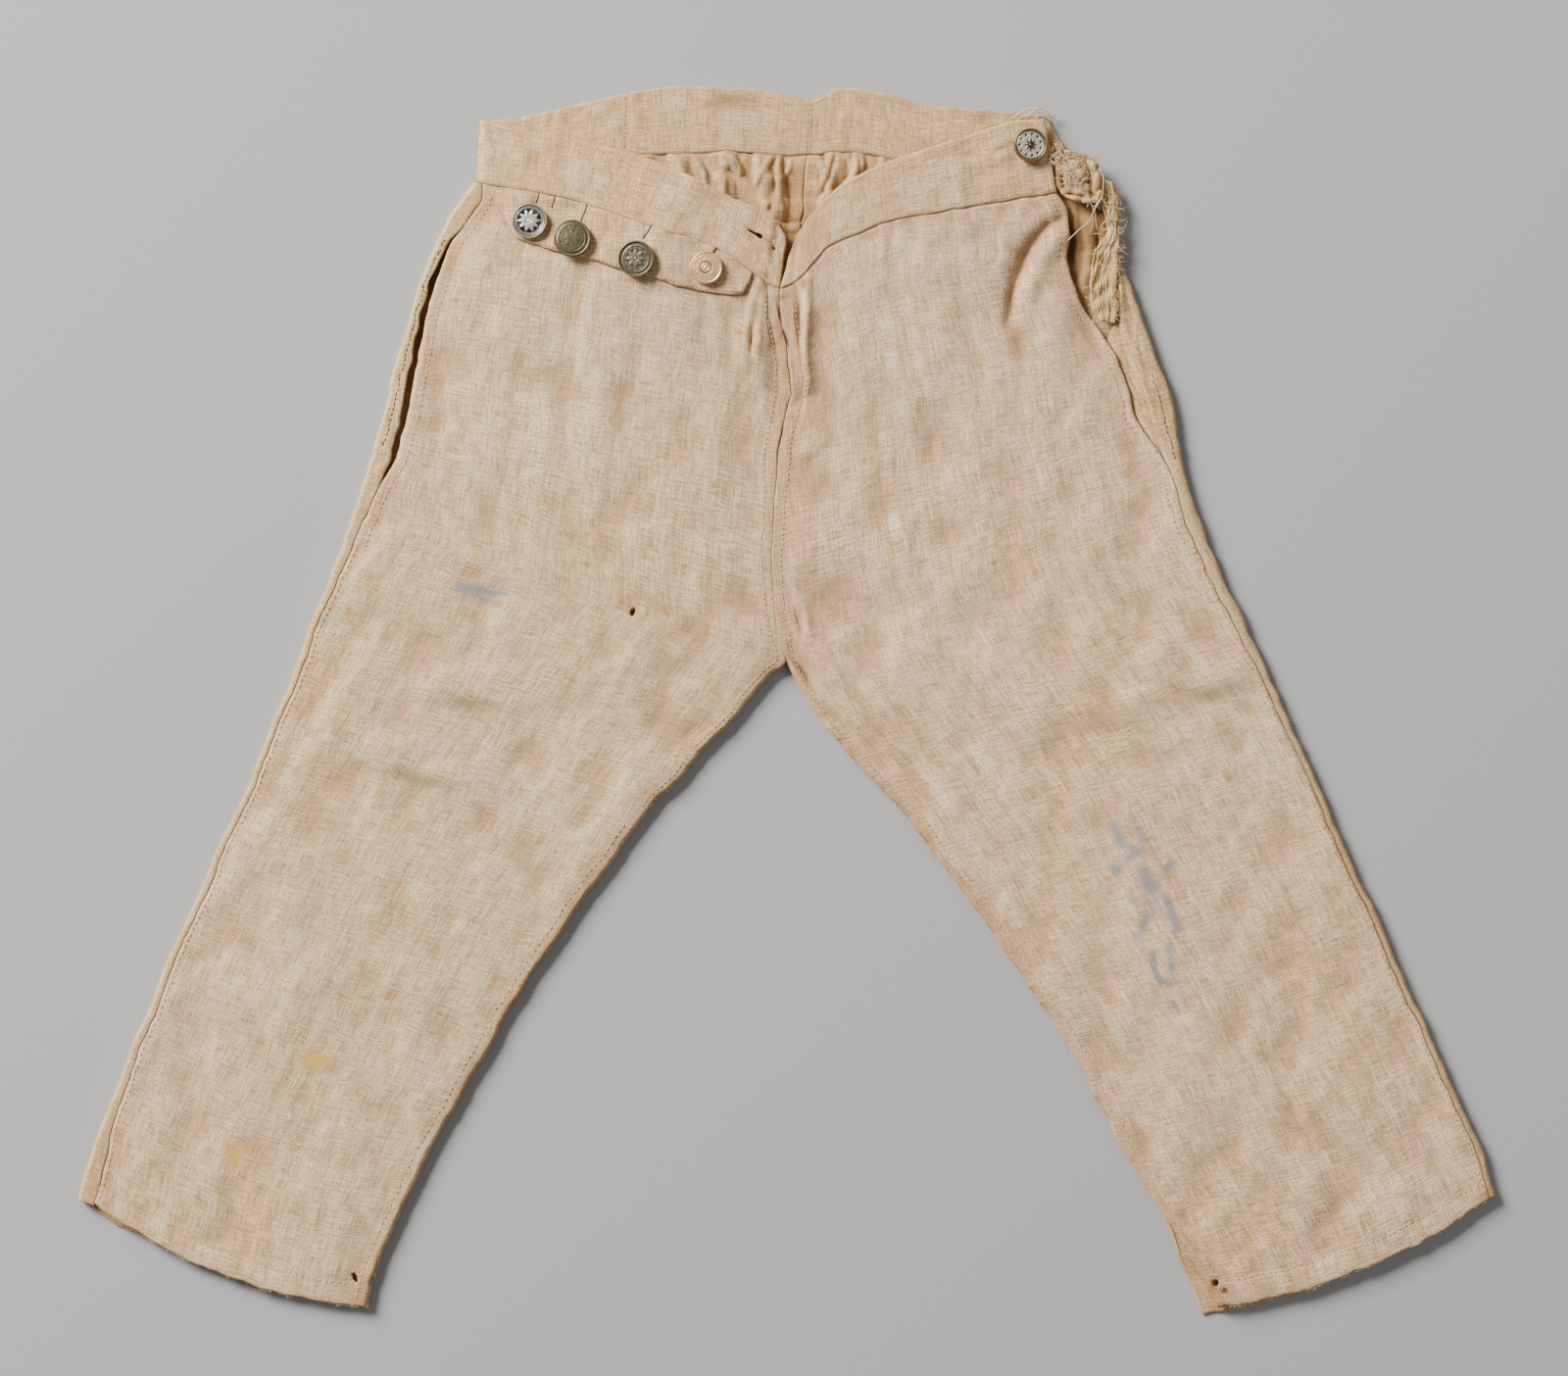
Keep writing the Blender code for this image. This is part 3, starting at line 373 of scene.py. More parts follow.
def tubes(paths, radius, sides=5):
    # Tubes round many paths of equal length (count, points, 3): a ring of sides at each point, closed ends.
    count, long_ = paths.shape[:2]
    along = unit(np.gradient(paths, axis=1))
    up = np.zeros_like(along)
    up[..., 2] = 1.0
    up[np.abs(along[..., 2]) > 0.9] = (1.0, 0.0, 0.0)
    side = unit(np.cross(along, up))
    other = np.cross(side, along)
    turn = np.arange(sides) * 2 * np.pi / sides
    radius = np.broadcast_to(radius, (count, long_))[..., None, None]
    ring = paths[:, :, None] + radius * (np.cos(turn)[:, None] * side[:, :, None]
        + np.sin(turn)[:, None] * other[:, :, None])
    index = np.arange(count * long_ * sides).reshape(count, long_, sides)
    turned = np.roll(index, -1, axis=2)
    walls = np.stack([index[:, :-1], turned[:, :-1], turned[:, 1:], index[:, 1:]], -1).reshape(-1,
        4).tolist()
    ends = index[:, 0, ::-1].tolist() + index[:, -1].tolist()
    return ring.reshape(-1, 3), walls + ends


def joinParts(parts):
    # Several (points, faces) pairs into one.
    points, faces, start = [], [], 0
    for p, f in parts:
        points.append(p)
        faces += [tuple(i + start for i in face) for face in f]
        start += len(p)
    return np.concatenate(points), faces


# Marks on the cloth: blue paint, yellow spots, brown soil with some painted shade, grey soil, each an oval.

# Faint smudges; the strokes are in paintStrokes.
markTable = {
    "blue": ((-208, 36, 2.2, 2, 0, 0.8), (-217, 14.5, 1.6, 1.6, 0, 0.6), (-253, -156, 5, 1.1, -15, 0.5),
        (-240, -162, 5, 1.4, -30, 0.35), (-138, 48, 14, 7, 5, 0.2), (164, -90, 12, 32, 12, 0.26),
        (217, -27, 2, 1.8, 0, 0.9), (217.5, -31, 1.4, 1.4, 0, 0.8), (210, -18.5, 1.6, 1.2, 0, 0.6),
        (277, -164, 6, 3.4, 20, 0.36), (289, -200, 4, 7, 0, 0.34), (296, -212, 4, 2, 0, 0.35),
        (60, 122, 16, 3, 14, 0.2), (47, 142, 12, 4, 10, 0.18), (-110, 88, 14, 6, 20, 0.16)),
    "yellow": ((-210, -161, 8.5, 4.6, -10, 1.0), (-205, -154, 4, 3, 0, 0.7),
        (-216, -160, 3.4, 3, 0, 0.8), (-248, -204, 6.6, 5.6, 0, 1.0), (-243, -200, 4, 3, 0, 0.7),
        (-252, -200, 3, 3, 0, 0.5), (197, 42, 4, 3, -60, 0.7), (9, 89, 3, 2, 0, 0.7),
        (-56, 120, 6, 3, 80, 0.15), (138, 196, 2.2, 30, 4, 1.0), (141, 176, 2.4, 8, 20, 0.9),
        (145, 222, 3, 14, 0, 0.8)),
    # Brown: mostly soil and rubbed wear; the ovals at (5.4, 166), (-3.5, 174.6), (0, 162), (2.9, 149.4),
    # (-16, 162), (-1.4, 34), (0.8, 24) and (4.6, 37) are painted shade in the centre front recess, along
    # its dark creases, and in a crease and the shadow beside a fold at the crotch.
    "brown": ((0, 60, 22, 60, 0, 0.6), (2, 20, 30, 26, 0, 0.65), (-40, -10, 34, 16, 50, 0.35),
        (45, -12, 34, 18, -48, 0.5), (124, 190, 18, 46, 0, 0.4), (5.4, 166, 3.6, 24, 0, 1.3),
        (8, 187, 2.4, 3.4, 0, 1.5), (-14, 203, 5, 5, 0, 0.7), (-8, 205.5, 5, 1.0, -40, 1.3),
        (-3, 199, 1.2, 8, 6, 0.9), (-16, 193, 2.6, 5.4, -12, 0.9), (-17, 212, 5.4, 1.3, -28, 0.7),
        (98, 248.6, 5, 1.2, 22, 1.2), (2, 152, 14, 46, 0, 0.4), (-3.5, 174.6, 7.5, 0.9, -77, 2.0),
        (0, 162, 7, 0.9, -72, 2.0), (2.9, 149.4, 7, 0.8, -82, 1.7), (-1.4, 34, 9, 0.8, -86, 1.1),
        (0.8, 24, 8, 1.1, -70, 1.3), (4.6, 37, 5, 0.7, -74, 1.0), (-4, 70, 30, 0.6, -89, 0.7),
        (-3, 120, 24, 0.6, -93, 0.7), (126.5, 179, 1.3, 0.9, 0, 1.8), (135.4, 233, 2.2, 11, 6, 1.15),
        (139.6, 231, 2.6, 8, 6, 0.8), (129, 227, 6.5, 1.3, -6, 1.9), (102, 250.4, 5.4, 1.1, -8, 1.1),
        (121.4, 236, 1.4, 10, 4, 1.3), (197, -264.8, 2.8, 2.2, -20, 1.9), (193, -262, 4, 3.6, 0, 0.9),
        (130, 240, 8, 8, 0, 0.5), (60, 214, 60, 8, 8, 0.25), (-16, 162, 0.8, 7, -3, 1.5),
        (102, 160, 8, 14, 10, 0.5), (114, 222, 0.8, 4, 20, 1.3), (-69, 40, 3, 3, 0, 0.9),
        (-190, -262, 16, 9, 20, 0.6), (-160, -262, 26, 12, 6, 0.4), (196, -264, 12, 9, 0, 0.5),
        (108, 236, 20, 22, 0, 0.22), (-120, 240, 22, 18, 0, 0.22), (88, -96, 12, 40, 32, 0.34),
        (-96, -98, 12, 42, -34, 0.26), (306, -190, 12, 22, 20, 0.3), (316, -222, 10, 6, 20, 0.8),
        (290, -222, 10, 3, 30, 0.5), (-300, -200, 14, 24, -20, 0.3), (220, -150, 30, 60, 24, 0.14),
        (230, -230, 60, 20, 20, 0.2), (-186, 60, 10, 34, -14, 0.26), (50, -46, 5, 7, 40, 0.7),
        (62, -62, 4, 8, 40, 0.6), (52, -52, 2, 2, 0, 0.9), (-6, 236, 20, 20, 0, 0.5),
        (-30, 198, 14, 8, -20, 0.3), (6, 210, 12, 20, 0, 0.7), (112, 128, 22, 30, 0, 0.14),
        (-70, 40, 50, 30, 0, 0.1), (-104, 246, 40, 16, -8, 0.25)),
    "grey": ((-140, -3, 30, 5, -9, 0.75), (-169, -35, 27, 6, -12, 0.7), (188, 3, 34, 5.5, 15, 0.75),
        (138, -10, 44, 6, 13, 0.8), (178, -20, 40, 5, 14, 0.28), (-24, 270, 14, 5, 0, 1.0),
        (40, 130, 40, 20, 20, 0.2), (-215, -130, 30, 22, 30, 0.18), (60, 246, 24, 10, 16, 0.22),
        (130, 60, 44, 20, 10, 0.12), (-90, 186, 50, 6, -18, 0.12), (250, -120, 24, 40, 20, 0.16),
        (-130, 206, 10, 5, 20, 0.3), (86, 210, 40, 8, 10, 0.22), (134, 196, 5, 40, 0, 0.5)),
}


# Columns: x1, y1, x2, y2, width, strength.
paintStrokes = np.array(((-147, 51, -138, 49.5, 5.4, 1.0), (-146, 47, -139, 51, 4.0, 0.8),
    (-138, 50, -124, 47.5, 2.4, 1.0), (-140, 48, -130, 43, 2.4, 0.8), (-133, 52, -126, 55, 2.0, 0.6),
    (-130.4, 64, -129, 60, 2.6, 0.6), (147.3, -56, 150.8, -63.9, 5.4, 0.9), (150.8, -63.9, 157.4, -68.4,
    5, 0.8), (159.2, -67.5, 153, -70.1, 5.2, 0.9), (153, -70.1, 146.8, -74.5, 5.4, 0.8),
    (147.7, -76.3, 150, -75, 4.6, 1.0), (157.4, -57.3, 160.5, -62.2, 3.6, 0.7),
    (170.7, -75.4, 173.3, -72.3, 4.4, 0.9), (161, -76.3, 165.4, -86, 5.8, 0.85),
    (153.9, -87.8, 157, -90.9, 4, 0.95), (157, -90.9, 161.8, -90.9, 3.6, 0.7),
    (161.8, -90.9, 166.7, -89.1, 3.4, 0.75), (171.1, -89.1, 175.5, -101.9, 4.8, 1.0),
    (161.4, -96.6, 160.1, -101.9, 5.4, 0.9), (160.1, -101.9, 157.4, -105.5, 4.6, 0.7),
    (158.4, -104, 161, -110.8, 4.2, 0.75), (164.5, -113.4, 165.4, -120.5, 4, 1.0),
    (165.4, -120.5, 168, -125.8, 3.6, 1.0), (168, -125.8, 172.9, -126.8, 3.2, 0.9),
    (172, -109.9, 172.9, -119.2, 4.8, 0.9), (174.7, -125.8, 179.5, -124, 2.8, 0.6),
    (173.3, -135.1, 176, -139, 2.6, 0.75), (183.9, -152.3, 186.6, -151, 3, 0.7)))


def edgeSpots(line, count, seed, share=1.0):
    # Rusty rub marks near an edge: small ovals at seeded places along it.
    rng = np.random.default_rng(seed)
    at = rng.uniform(0, len(line) - 1, count)
    x, y = (np.interp(at, np.arange(len(line)), line[:, k]) + rng.normal(0, 1.4, count) for k in (0, 1))
    return np.stack([x, y, rng.uniform(1.5, 7, count), rng.uniform(1, 3.4, count),
        rng.uniform(-90, 90, count), share * rng.uniform(0.3, 0.95, count)], -1)


rubbed = np.concatenate([edgeSpots(np.array(line, float), count, seed, 0.4 if count == 14 else 1.0)
    for line, count, seed in ((((0, 18), (-60, -47), (-113, -121), (-157, -197), (-189, -273)), 34,
    201), (((0, 18), (50, -47), (104, -121), (149, -197), (191, -273)), 46, 202),
    (((-319, -223), (-190, -273)), 14, 203), (((191, -275), (319, -222)), 18, 204),
    (((-198, 76), (-259, -73), (-319, -223)), 14, 205), (((190, 72), (257, -78), (319, -222)), 14, 206),
    (((-3, 184), (0, 18)), 22, 207), (((-136, 232), (-60, 214), (-3, 186)), 20, 208),
    (((120, 230), (42, 214), (0, 188)), 20, 209),
    (((-135, 262), (-60, 276), (12, 271), (60, 269), (118, 262)), 26, 210))])
markTable["brown"] = np.concatenate([np.array(markTable["brown"], float), rubbed])


def marksAt(x, y, edge=None):
    # Each kind of mark as the strongest of its ovals at a point, falling off toward the rim.
    layers = []
    for kind in ("blue", "yellow", "brown", "grey"):
        total = np.zeros_like(x)
        for mx, my, long_, wide, turn, strength in markTable[kind]:
            c, s = np.cos(np.radians(turn)), np.sin(np.radians(turn))
            u, v = ((x - mx) * c + (y - my) * s) / long_, (-(x - mx) * s + (y - my) * c) / wide
            total = np.maximum(total, strength * bump(np.hypot(u, v), 1.5 if kind in ("blue", "yellow")
                else 1.25))
        layers.append(total)
    for x1, y1, x2, y2, wide, strength in paintStrokes:
        run = (x2 - x1) ** 2 + (y2 - y1) ** 2
        t = np.clip(((x - x1) * (x2 - x1) + (y - y1) * (y2 - y1)) / run, 0.0, 1.0)
        away = np.hypot(x - x1 - t * (x2 - x1), y - y1 - t * (y2 - y1))
        layers[0] = np.maximum(layers[0], strength * bump(away, wide * 0.86))
    if edge is not None:
        layers[2] = np.clip(layers[2] + edge, 0.0, 2.2)
    return np.stack(layers, axis=-1)


# Materials.

def nodeTree(name):
    # A new material, its nodes and its main shader.
    material = bpy.data.materials.new(name)
    material.use_nodes = True
    return material, material.node_tree, material.node_tree.nodes["Principled BSDF"]


def addNode(tree, kind, values=None, **settings):
    # A node with its settings and the constants on its inputs.
    node = tree.nodes.new(kind)
    for key, value in settings.items():
        setattr(node, key, value)
    for key, value in (values or {}).items():
        node.inputs[key].default_value = value
    return node


def noiseOn(tree, vector, scale, stretch, detail=2.0, rough=0.5):
    # Noise on a vector that is first stretched by three factors.
    mapping = addNode(tree, "ShaderNodeMapping", {"Scale": stretch})
    tree.links.new(vector, mapping.inputs["Vector"])
    noise = addNode(tree, "ShaderNodeTexNoise", {"Scale": scale, "Detail": detail, "Roughness": rough})
    tree.links.new(mapping.outputs[0], noise.inputs["Vector"])
    return noise.outputs["Fac"]


def mathOn(tree, operation, first, second=None, third=None, clamp=False):
    # One step of arithmetic: each input is a number or another node's output.
    node = addNode(tree, "ShaderNodeMath", operation=operation, use_clamp=clamp)
    for k, value in enumerate((first, second, third)):
        if value is None:
            continue
        if isinstance(value, (int, float)):
            node.inputs[k].default_value = value
        else:
            tree.links.new(value, node.inputs[k])
    return node.outputs[0]


def rampOn(tree, value, low, high, outLow=0.0, outHigh=1.0):
    # Straight line from one range to another, held at its ends.
    node = addNode(tree, "ShaderNodeMapRange", {"From Min": low, "From Max": high, "To Min": outLow,
        "To Max": outHigh})
    tree.links.new(value, node.inputs["Value"])
    return node.outputs[0]


def tint(tree, share, under, over, blend="MIX"):
    # Mix of two colours by a share; each may be a colour or another node's output.
    node = addNode(tree, "ShaderNodeMix", data_type="RGBA", blend_type=blend)
    for value, socket in ((share, 0), (under, 6), (over, 7)):
        if isinstance(value, (int, float)):
            node.inputs[socket].default_value = value
        elif isinstance(value, tuple):
            node.inputs[socket].default_value = value + (1.0,)
        else:
            tree.links.new(value, node.inputs[socket])
    return node.outputs[2]


def bumpOn(tree, shader, height, strength, distance):
    # The height as small relief on the material's surface.
    node = addNode(tree, "ShaderNodeBump", {"Strength": strength, "Distance": distance})
    tree.links.new(height, node.inputs["Height"])
    tree.links.new(node.outputs[0], shader.inputs["Normal"])


def markChannels(tree):
    # The piece's own marks attribute, and its colour split into three channels.
    marks = addNode(tree, "ShaderNodeAttribute", attribute_name="marks")
    split = addNode(tree, "ShaderNodeSeparateColor")
    tree.links.new(marks.outputs["Color"], split.inputs[0])
    return marks, split


def srgb(red, green, blue):
    # Screen colour, 0 to 255, as linear light.
    return tuple(v / 12.92 if v <= 0.04045 else ((v + 0.055) / 1.055) ** 2.4
                 for v in (red / 255, green / 255, blue / 255))


linen = {
    "pale": (222, 199, 172),
    "warm": (214, 186, 144),
    "dark": (166, 130, 90),
    "light": (246, 230, 204),
    "brown": (166, 126, 86),
    "blue": (106, 122, 146),
    "yellow": (218, 166, 82),
    "grey": (138, 122, 88),
    "deep": (84, 60, 40),
    "blush": (216, 192, 176),
    "sand": (204, 176, 134),
    "threadPitch": 0.78,
    "bumpHeight": 0.0004,
    "roughness": 0.93,
}


linenNoises = (   # name, on the weave, scale, stretch, detail, roughness
    ("warpSlub", True, 1.0, (1450.0, 110.0, 1.0), 2.0, 0.6),
    ("weftSlub", True, 1.0, (110.0, 1450.0, 1.0), 2.0, 0.6),
    ("warpLong", True, 1.0, (620.0, 11.0, 1.0), 2.0, 0.7),
    ("weftLong", True, 1.0, (14.0, 680.0, 1.0), 2.0, 0.7),
    ("grain", True, 1.0, (1300.0, 1300.0, 1.0), 2.0, 0.7),
    ("patch", False, 11.0, (1.0, 1.0, 1.0), 4.0, 0.62),
    ("blush", False, 16.0, (1.0, 1.0, 3.0), 3.0, 0.6),
    ("broad", False, 60.0, (1.0, 1.0, 1.0), 5.0, 0.66),
    ("streak", True, 1.0, (130.0, 5.0, 1.0), 3.0, 0.62))
# What drives it, nought at, full at, strongest share, colour.
linenTints = (("patch", 0.36, 0.64, 1.0, "warm"), ("blush", 0.52, 0.7, 0.5, "blush"),
    ("broad", 0.5, 0.74, 0.2, "sand"), ("streak", 0.52, 0.66, 0.5, "light"),
    ("streak", 0.48, 0.34, 0.42, "dark"), ("longs", 0.54, 0.66, 0.5, "light"),
    ("longs", 0.46, 0.34, 0.42, "dark"), ("threads", 0.51, 0.61, 0.78, "light"),
    ("threads", 0.49, 0.39, 0.82, "dark"), ("grain", 0.52, 0.34, 0.8, "brown"),
    ("checker", 0.1, 1.0, 0.22, "dark"))


def linenMaterial(name, tone=(1.0, 1.0, 1.0), soiled=0.0):
    # Plain weave: sines at the thread pitch with slubs, long pale and dark threads both ways, slow
    # patches of tone, and the marks painted over; the threads also drive the bump.
    material, tree, shader = nodeTree(name)
    weave = addNode(tree, "ShaderNodeUVMap", uv_map="weave").outputs[0]
    place = addNode(tree, "ShaderNodeTexCoord").outputs["Object"]
    marks, split = markChannels(tree)
    times = lambda first, second, clamp=False: mathOn(tree, "MULTIPLY", first, second, clamp=clamp)
    plus = lambda first, second: mathOn(tree, "ADD", first, second)
    spread = lambda first, factor, less: mathOn(tree, "MULTIPLY_ADD", first, factor, less)
    ramp = lambda value, *limits: rampOn(tree, value, *limits)
    toned = lambda key: tuple(c * t for c, t in zip(srgb(*linen[key]), tone))
    part = {key: noiseOn(tree, weave if onWeave else place, scale, stretch, detail, rough)
            for key, onWeave, scale, stretch, detail, rough in linenNoises}
    xyz = addNode(tree, "ShaderNodeSeparateXYZ")
    tree.links.new(weave, xyz.inputs[0])
    turn = 6.2832 / (linen["threadPitch"] * mm)
    warpSine, weftSine = (mathOn(tree, "SINE", plus(times(xyz.outputs[k], turn),
        times(part[other], 7.0))) for k, other in ((0, "weftLong"), (1, "warpLong")))
    part["checker"] = times(warpSine, weftSine)
    part["threads"] = plus(times(part["warpSlub"], 0.5), times(part["weftSlub"], 0.5))
    part["longs"] = plus(times(part["warpLong"], 0.62), times(part["weftLong"], 0.38))
    color = toned("pale")
    for key, low, high, most, over in linenTints:
        color = tint(tree, ramp(part[key], low, high, 0.0, most), color, toned(over))
    # The brown channel is soil together with painted shade in creases, recesses and under edges; its
    # highest values go to the deep colour, mostly painted deep shade.
    soilAndShade = plus(times(split.outputs[2], ramp(part["broad"], 0.3, 0.7, 0.55, 1.1)), soiled)
    color = tint(tree, times(soilAndShade, 0.72, True), color, toned("brown"))
    color = tint(tree, ramp(soilAndShade, 1.05, 1.7, 0.0, 0.85), color, srgb(*linen["deep"]))
    alpha = times(marks.outputs["Alpha"], ramp(part["broad"], 0.35, 0.65, 0.5, 1.1))
    color = tint(tree, times(alpha, 1.0, True), color, toned("grey"))
    rub = ramp(plus(times(part["threads"], 0.7), times(part["grain"], 0.3)), 0.36, 0.56, 0.35, 0.95)
    yellow = times(ramp(plus(split.outputs[1], spread(part["broad"], 1.3, -0.6)), 0.2, 1.0), 0.95)
    yellow = mathOn(tree, "MINIMUM", yellow, times(split.outputs[1], 1.6), clamp=True)
    color = tint(tree, yellow, color, srgb(*linen["yellow"]))
    blueEdge = plus(split.outputs[0], spread(part["grain"], 0.5, -0.25))
    blueEdge = plus(blueEdge, spread(part["broad"], 1.6, -0.85))
    blue = mathOn(tree, "MINIMUM", ramp(blueEdge, 0.08, 0.8, 0.0, 0.8), times(split.outputs[0], 2.0))
    color = tint(tree, times(blue, rub, True), color, srgb(*linen["blue"]))
    tree.links.new(color, shader.inputs["Base Color"])
    for key, value in (("Roughness", linen["roughness"]), ("Specular IOR Level", 0.1),
            ("Sheen Weight", 0.03), ("Sheen Roughness", 0.6)):
        shader.inputs[key].default_value = value
    height = plus(times(part["checker"], 0.22), times(part["threads"], 1.5))
    for key, share in (("grain", 0.55), ("longs", 0.5)):
        height = plus(height, times(part[key], share))
    bumpOn(tree, shader, height, 0.75, linen["bumpHeight"])
    return material


def threadMaterial(name, color, lighter):
    # Spun thread: slow changes of tone along it and a fine grain.
    material, tree, shader = nodeTree(name)
    place = addNode(tree, "ShaderNodeTexCoord").outputs["Object"]
    slow = noiseOn(tree, place, 160.0, (1.0, 1.0, 1.0), 3.0, 0.6)
    fine = noiseOn(tree, place, 3000.0, (1.0, 1.0, 1.0), 2.0, 0.6)
    tree.links.new(tint(tree, rampOn(tree, slow, 0.35, 0.65), srgb(*color), srgb(*lighter)),
        shader.inputs["Base Color"])
    shader.inputs["Roughness"].default_value = 0.9
    shader.inputs["Specular IOR Level"].default_value = 0.2
    bumpOn(tree, shader, fine, 0.5, 0.00008)
    return material


def metalMaterial(name, bright, dull, rough, wear, rimTone=(168, 148, 104)):
    # Worn metal: the relief attribute keeps the high parts bright, tarnish gathers in the low ones.
    material, tree, shader = nodeTree(name)
    place = addNode(tree, "ShaderNodeTexCoord").outputs["Object"]
    split = markChannels(tree)[1]
    tarnish = noiseOn(tree, place, 420.0, (1.0, 1.0, 1.0), 5.0, 0.65)
    fine = noiseOn(tree, place, 2600.0, (1.0, 1.0, 1.0), 4.0, 0.6)
    share = mathOn(tree, "ADD", mathOn(tree, "MULTIPLY", split.outputs[0], 0.9),
        mathOn(tree, "MULTIPLY_ADD", tarnish, 1.2, wear - 0.6))
    color = tint(tree, rampOn(tree, share, 0.2, 0.85), srgb(*dull), srgb(*bright))
    color = tint(tree, mathOn(tree, "MULTIPLY", split.outputs[1], 0.85), color, srgb(*rimTone))
    tree.links.new(color, shader.inputs["Base Color"])
    shader.inputs["Metallic"].default_value = 0.85
    tree.links.new(rampOn(tree, tarnish, 0.3, 0.7, rough + 0.12, rough - 0.06),
        shader.inputs["Roughness"])
    bumpOn(tree, shader, mathOn(tree, "ADD", fine, tarnish), 0.4, 0.0001)
    return material


linenFront = linenMaterial("linenFront", (1.06, 0.99, 0.86))
# The right front uses a brighter copy of the linen: painted light, making up for the key light's falloff
# toward the right.
linenRight = linenMaterial("linenRight", (1.12, 1.04, 0.93), 0.02)
linenBack = linenMaterial("linenBack", (1.0, 0.9, 0.71), 0.1)
linenBand = linenMaterial("linenBand", (1.05, 0.95, 0.77), 0.05)
linenYellow = linenMaterial("linenYellow", (1.0, 0.90, 0.68), 0.1)
paleThread = threadMaterial("paleThread", (196, 164, 122), (224, 200, 164))
darkThread = threadMaterial("darkThread", (84, 60, 38), (128, 98, 64))
print("materials made")


# The four leg panels.

# Columns: x1, y1, x2, y2, bow, height, half width.
frontFolds = {
    "left": ((-7, 188, -3, 128, 0, -1.8, 8), (-9, 190, -6, 160, 0, -1.0, 3.0), (-13, 188, -17, 164, -1,
        0.9, 3), (-176, 6, -70, 14, 0, 0.5, 14), (-190, -30, -120, -22, 0, -0.5, 14),
        (-165, 0, -112, -7, 2, -0.7, 5), (-192, -30, -146, -42, 1, -0.7, 5),
        (-60, 196, -30, 120, 3, 0.7, 15), (-110, 190, -96, 120, 3, -0.5, 13), (-15.6, 169, -16.5, 155,
        0, -1.3, 1.9), (-12.6, 170, -13, 152, 0, 0.6, 2.4), (-20, 178, -19, 150, 1, 0.7, 4),
        (-28, 182, -26, 150, 1, -0.5, 4), (-90, 60, -20, 34, 4, 0.6, 11), (-30, 8, -70, 30, 3, -0.6, 8),
        (-12, 24, -44, 44, 3, 0.6, 6), (-8, 36, -30, 66, 3, -0.5, 6), (-224, -120, -170, -150, 3, 0.5,
        14), (-240, -160, -200, -190, -3, -0.5, 13), (-40, 188, -36, 160, 1, -0.5, 5),
        (-130.8, 226, -123, 211.4, -1, -1.2, 1.6), (-127, 228, -118, 214, 1, 0.6, 3),
        (-128, 208, -112, 200, 1, -0.5, 4), (-100, 194, -104, 176, 1, 0.45, 5),
        (-150, 190, -160, 150, 2, 0.5, 6), (-200, -60, -150, -110, 6, 0.5, 13),
        (-130, -70, -100, -40, -4, -0.45, 9), (-280, -200, -270, -180, 2, 0.4, 7),
        (-206, -206, -190, -240, 3, -0.4, 8)),
    "right": ((125, 217, 111, 207, -2, -1.6, 3.6), (112, 209, 104.5, 192, -1.5, -2.2, 4.2),
        (105, 194, 99.5, 169, -1, -2.3, 4.4), (120, 214, 101, 172, -5, -1.5, 11),
        (127, 212, 113, 196, -1, 1.5, 6), (114, 200, 106, 172, -1, 1.5, 7),
        (101, 170, 106, 146, 1, -1.0, 5.5), (127, 190, 116, 150, 0, 1.2, 11), (111.5, 227, 113.6, 219,
        0, -1.2, 1.5), (108, 226, 104, 216, 0, 0.6, 2.6), (117, 228, 121, 214, 0, 0.7, 3.4),
        (96, 224, 92, 206, 1, -0.5, 3), (1, 188, 5, 134, -1.2, -3.2, 5), (-3.4, 181, 1.6, 150, -1.0,
        -1.6, 2.0), (4.6, 186, 5.2, 146, 0, -1.0, 2.4), (9.4, 190, 8.2, 138, 0, 1.7, 2.8),
        (10.4, 192, 9, 128, 0, 1.0, 5.0), (4, 134, 2, 104, 0, -0.8, 5), (96, -18, 176, 0, 0, 0.6, 14),
        (155, 12, 220, -6, -2, -0.7, 5), (96, -18, 180, 1, 2, -0.7, 5), (3, 42, 7, 30, 0, -1.1, 2),
        (8, 42, 11, 28, 0, 0.7, 2.4), (195.6, -264, 198.4, -265.4, 0, -1.0, 2.2),
        (190, -259, 190, -264, 0, 0.4, 1.6), (48, 214, 47, 203, 0, -0.9, 1.5),
        (44, 212, 42, 196, 0, 0.5, 3), (62, 216, 58, 190, 1, 0.6, 5), (80, 222, 84, 196, -1, 0.55, 6),
        (5, 32, 30, -6, 3, 0.9, 7), (10, 0, 44, -28, 3, -0.7, 6), (-1, 22, 12, 4, 1, -0.8, 3),
        (210, -60, 170, -110, 4, 0.5, 15), (140, 150, 128, 118, 2, 0.8, 9), (150, 120, 160, 96, 1, -0.6,
        7), (30, 60, 70, 90, 5, 0.5, 12), (66, 176, 56, 120, 3, 0.6, 13), (240, -150, 200, -190, 4, 0.5,
        13), (262, -210, 232, -240, 3, -0.4, 8), (132, 176, 142, 148, 1, -0.6, 4),
        (90, 40, 130, 66, 4, -0.4, 12)),
}
hemHoles = {"left": ((-194.0, -259.0, 1.2, 2.4, 25.0),), "right": ((192.8, -261.4, 1.7, 1.6, 10.0),)}
wearHole = (-69.0, 40.0, 1.1, 2.1, -20.0)


